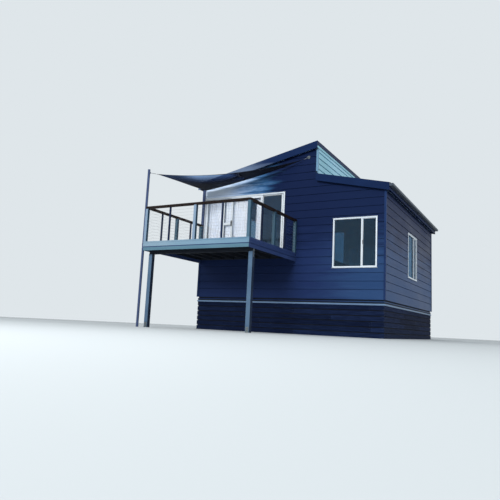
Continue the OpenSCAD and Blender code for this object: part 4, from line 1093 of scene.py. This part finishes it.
def deckFascias():
    # an edging over an upper and a lower board, with a shadow gap between the two, all on one backing
    bm = bmesh.new()
    t, wide, back = deck["fascia"], deck["wide"], deck["backing"]
    boards = [(*deck[name], back - 0.3, finish) for finish, name in enumerate(("edging", "upper", "lower"))]
    # the backing, seen in the gap between the boards, and the side boards take the darker side paint: painted
    # shade
    for out, top, foot, inner, finish in boards + [(back, 2, 268, t, 3)]:
        z0, z1 = deckZ - foot, deckZ - top
        bar(bm, [(out, z0), (inner, z0), (inner, z1), (out, z1)], -wide + out, -out, alongX, finish)
        for a, b in ((-inner, -out), (-wide + out, -wide + inner)):
            bar(bm, [(a, z0), (b, z0), (b, z1), (a, z1)], t + 2, wallY - 0.5, alongY, 3)
    # coach screw heads through the upper boards
    face = deck["upper"][0] - 0.3
    for z in (deckZ - 72, deckZ - 125):
        for x in places(-wide + 60, -40, 435):
            stud(bm, (x, face, z), (0, -1, 0), deck["coach"], 12, 4)
        for y in places(120, wallY - 40, 400):
            for x, out in ((-face, 1), (-wide + face, -1)):
                stud(bm, (x, y, z), (out, 0, 0), deck["coach"], 12, 4)
    finishPiece(bm, "deckFascias", [deckEdgePaint, deckPaint, deckLowPaint, deckShadedSidePaint, galvanised],
                "deck_paint", edge=2)


ties = {"strap": 3, "strapHalf": 27, "strapZ": (-160, 110), "strapBolts": (-120, -50, 60), "foot": 3.2,
        "footHalf": 45, "footHigh": 150, "footBolts": (60, 110),
        "bolt": [(0, 12), (2, 12), (2, 9.5), (9, 9.5), (10, 8)]}


def deckHardware():
    # bolts and straps that tie the bearer to its posts, and brackets under the posts
    bm = bmesh.new()
    z = deckZ - deck["boardT"] - deck["joistH"] - deck["bearerH"]
    half, foot, wide = deck["postW"] / 2, ties["foot"], ties["footHalf"]
    middle, strap, (low, high) = deck["postY"] + half, ties["strapHalf"], ties["strapZ"]
    for x in (-deck["wide"] + deck["fascia"] + half, -deck["fascia"] - half):
        for out in (-1, 1):
            face, head = x + out * half, x + out * (half + ties["strap"])
            box(bm, *sorted((face + out * 0.2, head)), middle - strap, middle + strap, z + low, z + high)
            for dz in ties["strapBolts"]:
                stud(bm, (head, middle, z + dz), (out, 0, 0), ties["bolt"], 6)
        for y, out in ((middle - half - foot - 0.3, -1), (middle + half + 0.3, 1)):
            box(bm, x - wide, x + wide, y, y + foot, 0, ties["footHigh"])
            for dz in ties["footBolts"]:
                stud(bm, (x, y + (foot if out > 0 else 0), dz), (0, out, 0), ties["bolt"], 6)
    finishPiece(bm, "deckHardware", [galvanised], "galvanised_steel", edge=0.6, steps=1)


deckBoards()
softened("deckPosts", "deck_posts", [lowPostPaint, lowPostShadedSidePaint], "deck_paint", 5, split=paintShadeOnSides)
softened("deckBearers", "deck_bearers", [baseTimber], "base_timber", 3)
softened("deckJoists", "deck_joists", [baseTimber], "base_timber", 2)
deckFascias()
deckHardware()

# balustrade: posts, thin supports and a square handrail, with level wires between

softened("balustradePosts", "balustrade_posts", [postPaint, postShadedSidePaint], "deck_paint", 4, split=paintShadeOnSides)
softened("balustradeSupports", "balustrade_supports", [supportPaint], "rail_timber", 2.5)
softened("handrailTimbers", "handrails", [railTimber], "rail_timber", 9, 3)
wires = {"first": 86, "every": 90, "rows": 10, "r": 1.6, "front": 45, "left": -3555, "right": -45, "wall": 2955,
         "leftEnd": 2800, "fitting": [(0, 9), (1.5, 9), (1.5, 5.5), (9, 5.5), (10, 3.6), (46, 3.2), (50, 1.7)]}


def balustradeWires():
    bm = bmesh.new()
    left, right, front = wires["left"], wires["right"], wires["front"]
    for k in range(wires["rows"]):
        z = deckZ + wires["first"] + k * wires["every"]
        # the two runs pass each other inside the corner posts
        for start, end, lift in (((left, front), (right, front), 0),
                                 ((right, front), (right, wires["wall"]), 5),
                                 ((left, front), (left, wires["leftEnd"]), 5)):
            start, end = Vector((*start, z + lift)), Vector((*end, z + lift))
            way = (end - start).normalized()
            a, b = start + way * 40, end - way * 40
            tube(bm, [a, b], wires["r"], 6)
            for point, out in ((a, way), (b, -way)):
                stud(bm, point + out * 4.6, out, wires["fitting"], 10)
    finishPiece(bm, "balustradeWires", [stainless], "galvanised_steel", angle=40)


balustradeWires()
print("stage: deck made")

# shade sail: one three cornered cloth, its webbing, and the steel that holds it

sail = {"front": Vector((-3638.3, 60, 4630)), "back": Vector((-3555, 2955, 4785)),
        "wall": Vector((330, 2990, 5560.3)), "wallCorner": Vector((-130, -60, -70)),
        "frontReach": 260, "backReach": 112, "dips": (0.05, 0.02, 0.05),
        "sag": 0.028, "pull": 7, "steps": 44, "rings": 30, "cloth": 1.2, "hem": 38, "hemT": 2.2, "gusset": 170,
        "cutMore": 1.12}


def levelWay(start, end):
    return Vector((end.x - start.x, end.y - start.y, 0)).normalized()


sailCentre = Vector((sum(sail[name].x for name in ("front", "back", "wall")) / 3,
                     (sail["front"].y + sail["back"].y + wallY) / 3, 0))
sailCorners = [sail["front"] + levelWay(sail["front"], sailCentre) * sail["frontReach"] - upward,
               sail["wall"] + sail["wallCorner"],
               sail["back"] + levelWay(sail["back"], sailCentre) * sail["backReach"] - upward * 10]
sailMiddle = (sailCorners[0] + sailCorners[1] + sailCorners[2]) / 3
sailNormal = (sailCorners[1] - sailCorners[0]).cross(sailCorners[2] - sailCorners[0]).normalized()
sailSides = [(sailCorners[(c + 1) % 3] - sailCorners[c]).length for c in range(3)]


def sailEdge(c, t):
    a, along = sailCorners[c], sailCorners[(c + 1) % 3] - sailCorners[c]
    across = sailNormal.cross(along) / sailSides[c]
    side = 1 if (sailMiddle - a).dot(across) > 0 else -1
    return a + along * t + across * side * sail["dips"][c] * sailSides[c] * 4 * t * (1 - t)


def sailPoint(c, t, k):
    # c and t run round the edge, k runs from the middle to the edge
    s = [(1 - k) / 3 + k * (1 - t if i == c else t if i == (c + 1) % 3 else 0) for i in range(3)]
    sag = 4 * sail["sag"] * sum(s[i] * s[(i + 1) % 3] * sailSides[i] for i in range(3))
    # pull lines run in from each corner and fade out
    pull = 0
    for i in range(3):
        near = max(0.0, (s[i] - 0.45) / 0.55)
        if near:
            spread = (s[(i + 1) % 3] - s[(i + 2) % 3]) / max(1 - s[i], 0.05)
            pull += sail["pull"] * math.sin(5.5 * math.pi * spread) * near * (1 - near) * 2
    return sailMiddle + (sailEdge(c, t) - sailMiddle) * k - upward * sag + sailNormal * pull


def thinKnit(material, point, shader):
    # the knit is open, and the wind has worn it thinnest along its front edge: light comes through its holes
    # and its blue threads there, and less and less of it further in, towards the tip and under the roof
    apart = addNode(material, "SeparateXYZ", {0: point})
    # distance in from the front edge in metres
    a, b = houseMatrix @ sailCorners[0], houseMatrix @ sailCorners[1]
    along = levelWay(a, b)
    inX = addNode(material, "Math", {0: apart.outputs[0], 1: -along.y, 2: a.x * along.y - a.y * along.x},
                  operation="MULTIPLY_ADD")
    inward = addNode(material, "Math", {0: apart.outputs[1], 1: along.x, 2: inX}, operation="MULTIPLY_ADD")
    spans = (inward, 0.0, 1.5, 1.0, 0.0), (apart, -1.5, -1.1, 1.0, 0.0), (apart, -2.8, -2.2, 0.45, 1.0)
    worn, far, tip = (addNode(material, "MapRange", dict(enumerate(span)), interpolation_type="SMOOTHSTEP")
                      for span in spans)
    thin = addNode(material, "Math", {0: worn, 1: far}, operation="MULTIPLY")
    thin = addNode(material, "Math", {0: thin, 1: tip}, operation="MULTIPLY")
    tint = addNode(material, "Mix", {0: thin, 6: "#3c5c94", 7: "#d3e6ff"}, data_type="RGBA")
    holes = addNode(material, "BsdfTransparent", {0: tint.outputs[2]})
    opened = addNode(material, "MapRange", {0: thin, 1: 0.0, 2: 1.0, 3: 0.15, 4: 0.85})
    return addNode(material, "MixShader", {0: opened, 1: shader, 2: holes})


# knitted polyethylene shade cloth: matt, ribbed across its width, near black navy
shadeCloth = makeCloth("knittedShadeCloth", (0.35, 0.6, 0.85), "#070c1a #0b1327 #121d38", "XY", 14, 0.8,
                       through=thinKnit)


def makeSail():
    bm = bmesh.new()
    steps, rings, t = sail["steps"], sail["rings"], sail["hemT"]
    centre = bm.verts.new(sailPoint(0, 0, 0))
    loops = [[bm.verts.new(sailPoint(c, i / steps, (r + 1) / rings)) for c in range(3) for i in range(steps)]
             for r in range(rings)]
    for i in range(3 * steps):
        j = (i + 1) % (3 * steps)
        bm.faces.new([centre, loops[0][i], loops[0][j]])
        for a, b in zip(loops, loops[1:]):
            bm.faces.new([a[i], b[i], b[j], a[j]])
    area = sum(f.calc_area() for f in bm.faces) / 1e6
    cloth = finishPiece(bm, "shadeSail", [shadeCloth], "shade_cloth", "sail", angle=60)
    thick = cloth.modifiers.new("thread", "SOLIDIFY")
    thick.thickness, thick.offset = sail["cloth"] / 1000, 0
    # webbing folded over the edges, thicker than the cloth, with a gusset at each corner
    bm = bmesh.new()
    for c in range(3):
        rows = []
        for i in range(steps + 1):
            outer = sailPoint(c, i / steps, 1.0)
            hem = sail["hem"] / max((sailMiddle - outer).length, 1) * 1.25
            inner = sailPoint(c, i / steps, 1.0 - hem)
            section = ((outer, -t), (outer, t), (inner, t), (inner, -t))
            rows.append([bm.verts.new(p + sailNormal * s) for p, s in section])
        skin(bm, rows)
    for c in range(3):
        last, reach = (c + 2) % 3, sail["gusset"]
        a, b = sailPoint(c, reach / sailSides[c], 1.0), sailPoint(last, 1 - reach / sailSides[last], 1.0)
        face = [sailPoint(c, 0, 1.0), a, (a + b) / 2 * 0.93 + sailPoint(c, 0, 0.99) * 0.07, b]
        skin(bm, [[bm.verts.new(p + sailNormal * s) for p in face] for s in (t + 0.8, -t - 0.8)])
    hems = finishPiece(bm, "sailWebbing", [webbing], "shade_cloth", angle=40)


makeSail()
mast = {"r": 38, "top": 4730, "poleR": 30, "poleHigh": 2330, "clamps": (70, 210), "clamp": 40, "lug": (14, 18),
        "eye": (0, 14, -4, 4, -22, 22), "plate": (45, 37), "bolt": 30,
        "bolts": [(-1, 7.5), (1.5, 7.5), (1.5, 6), (6, 6), (7, 5)]}


def sailSteel():
    bm = bmesh.new()
    f, k = sail["front"], sail["back"]
    r, p, top, high = mast["r"], mast["poleR"], mast["top"], mast["poleHigh"]
    shape = [(0, r), (top - 7, r), (top - 7, r - 0.6), (top - 5, r), (top - 1.5, r - 0.6), (top, r - 8)]
    stud(bm, (f.x, f.y, 0), upward, shape, 40)
    shape = [(0, p + 14), (6, p + 14), (6, p), (high - 7, p), (high - 7, p - 0.6), (high - 5, p),
             (high - 2, p - 0.6), (high, p - 7)]
    stud(bm, (k.x, k.y, deckZ), upward, shape, 40)
    # clamps that hold the tall post to the deck's fascia
    tall, (wide, deep) = mast["clamp"], mast["lug"]
    for z in (deckZ - low for low in mast["clamps"]):
        shape = [(0, r + 3), (1, r + 4), (tall - 1, r + 4), (tall, r + 3)]
        stud(bm, (f.x, f.y, z - tall / 2), upward, shape, 40)
        box(bm, f.x + r - 4, 2 - deck["wide"], f.y - wide, f.y + wide, z - deep, z + deep)
    # welded eye plates, each with a ring for the shackle
    for corner, hold, out in ((0, f, r), (2, k, p)):
        way = levelWay(hold, sailCorners[corner])
        side, foot = Vector((-way.y, way.x, 0)), hold + way * (out - 3)
        hoop(bm, hold + way * (out + 22), way, upward, 10, 4.2)
        box(bm, *mast["eye"], place=lambda u, s, z: foot + way * u + side * s + upward * z)
    finishPiece(bm, "sailPosts", [postCoat], "galvanised_steel", angle=40)

    bm = bmesh.new()
    x, y, z = sail["wall"]
    a, b = mast["plate"]
    outline = [(-a, -b), (-b, -a), (b, -a), (a, -b), (a, b), (b, a), (-b, a), (-a, b)]
    bar(bm, [(x + p, z + q) for p, q in outline], y, y + 9.8, alongY)
    for dx in (-mast["bolt"], mast["bolt"]):
        for dz in (-mast["bolt"], mast["bolt"]):
            stud(bm, (x + dx, y, z + dz), (0, -1, 0), mast["bolts"], 6)
    hoop(bm, (x, y - 13, z), (0, -1, 0), upward, 12, 4.5)
    finishPiece(bm, "sailPlate", [galvanised], "galvanised_steel", edge=1)


def turnbuckles():
    # each is a screw eye, an open body and a hooked eye that takes the ring of the sail's corner
    bm = bmesh.new()
    for corner, hold, start in ((0, sail["front"], 62), (2, sail["back"], 54), (1, sail["wall"], 24)):
        to = sailCorners[corner]
        way = (to - hold).normalized()
        side = way.cross(upward).normalized()
        up = side.cross(way)
        end = (to - hold).length - 4
        small = min(1.0, (end - start) / 150)
        for at, outward in ((start, 7), (end, -7)):
            hoop(bm, hold + way * (at + outward * small), way, side, 9 * small, 3.2 * small)
        s0, s1 = start + 15 * small, end - 15 * small
        rod, shoulder = (s1 - s0) * 0.42, (s1 - s0) * 0.16
        for p, q in ((s0, s0 + rod), (s1 - rod, s1)):
            tube(bm, [hold + way * p, hold + way * q], 3.6 * small, 10)
        m0, m1 = s0 + shoulder, s1 - shoulder
        for s in (-1, 1):
            off = up * (s * 7.5 * small)
            path = [(m0, 0), (m0 + 6, 1), (m1 - 6, 1), (m1, 0)]
            tube(bm, [hold + way * m + off * share for m, share in path], 3.0 * small, 8)
        for m in (m0, m1):
            nut = [(0, 5), (1, 6.2), (9 * small, 6.2), (10 * small, 5)]
            stud(bm, hold + way * (m - 5 * small), way, nut, 12)
        # the corner's ring, sewn into the webbing
        inward = (sailMiddle - to).normalized()
        hoop(bm, to - way * 2 + inward * 8, inward, inward.cross(sailNormal).normalized(), 13, 3.4, step=24)
    finishPiece(bm, "rigging", [stainless], "galvanised_steel", "turnbuckles", angle=50)


sailSteel()
turnbuckles()
print("stage: sail made")

# setting: a pale floor and sky, soft light and the camera

# the camera fitted to the photograph: focal length in its pixels, angles in radians, place in metres
view = {"focal": 520.734, "pixels": 500, "sensor": 36, "yaw": -0.51567, "pitch": 0.14570, "roll": 0.04826,
        "place": (7.10352, -16.77807, 0.16210), "far": 500}


def makeCamera():
    data = bpy.data.cameras.new("camera")
    data.sensor_width, data.clip_end = view["sensor"], view["far"]
    data.lens = view["sensor"] * view["focal"] / view["pixels"]
    camera = bpy.data.objects.new("camera", data)
    scene.collection.objects.link(camera)
    place = Matrix.Translation(view["place"])
    for angle, axis in ((-view["yaw"], "Z"), (math.pi / 2 + view["pitch"], "X"), (view["roll"], "Z")):
        place = place @ Matrix.Rotation(angle, 4, axis)
    camera.matrix_world = place
    scene.camera = camera


ground = {"half": 150.0, "cells": 24, "z": -0.002, "colour": "#b3b9bc", "clears": (15.0, 38.0)}


def makeFloor():
    bm = bmesh.new()
    bmesh.ops.create_grid(bm, x_segments=ground["cells"], y_segments=ground["cells"], size=ground["half"],
                          matrix=Matrix.Translation((0, 0, ground["z"])))
    mesh = bpy.data.meshes.new("floor")
    bm.to_mesh(mesh)
    bm.free()
    floor = bpy.data.objects.new("floor", mesh)
    scene.collection.objects.link(floor)
    # a matt floor that clears away with distance, so that no edge shows against the sky
    material = newMaterial("screededFloor")
    shader = addNode(material, "BsdfPrincipled", {"Base Color": ground["colour"], "Roughness": 0.85})
    away = addNode(material, "VectorMath", {0: objectPoint(material)}, operation="LENGTH").outputs["Value"]
    near, far = ground["clears"]
    share = addNode(material, "MapRange", {0: away, 1: near, 2: far, 3: 0.0, 4: 1.0},
                    interpolation_type="SMOOTHSTEP")
    mixed = addNode(material, "MixShader", {0: share, 1: shader, 2: addNode(material, "BsdfTransparent")})
    addNode(material, "OutputMaterial", {"Surface": mixed})
    mesh.materials.append(material)


# the sky as it is seen, and the share of it that lights the house
sky = {"colour": "#dfe6ea", "light": 0.55, "seen": 1.0, "aim": Vector((0, 0, 3))}
# each lamp's place and width in metres, and its power in watts
lamps = {"skyFromFront": ((1.1, -21.2, 8.3), 6.0, 3200), "skyFromLeft": ((-17, -6, 15), 9.0, 1300),
         "skyFromRight": ((17, -2, 12), 9.0, 1500), "skyFromBack": ((-7, 17, 13), 9.0, 1500)}


def makeLight():
    world = bpy.data.worlds.new("sky")
    scene.world = world
    world.use_nodes = True
    world.node_tree.nodes.clear()
    path = addNode(world, "LightPath").outputs
    seen = addNode(world, "Math", {0: path["Is Camera Ray"], 1: path["Is Glossy Ray"]}, operation="MAXIMUM")
    seen = addNode(world, "Math", {0: seen, 1: path["Is Transmission Ray"]}, operation="MAXIMUM")
    strength = addNode(world, "MapRange", {0: seen, 1: 0.0, 2: 1.0, 3: sky["light"], 4: sky["seen"]})
    background = addNode(world, "Background", {"Color": sky["colour"], "Strength": strength})
    addNode(world, "OutputWorld", {"Surface": background})
    for name, (at, size, watts) in lamps.items():
        lamp = bpy.data.lights.new(name, "AREA")
        lamp.shape, lamp.size, lamp.energy = "DISK", size, watts
        holder = bpy.data.objects.new(name, lamp)
        scene.collection.objects.link(holder)
        holder.location = at
        holder.visible_glossy = False  # the panes mirror the open sky and no lamp
        holder.rotation_euler = (sky["aim"] - Vector(at)).to_track_quat("-Z", "Y").to_euler()


makeCamera()
makeFloor()
makeLight()
scene.view_settings.view_transform = "Standard"
print("stage: setting made")
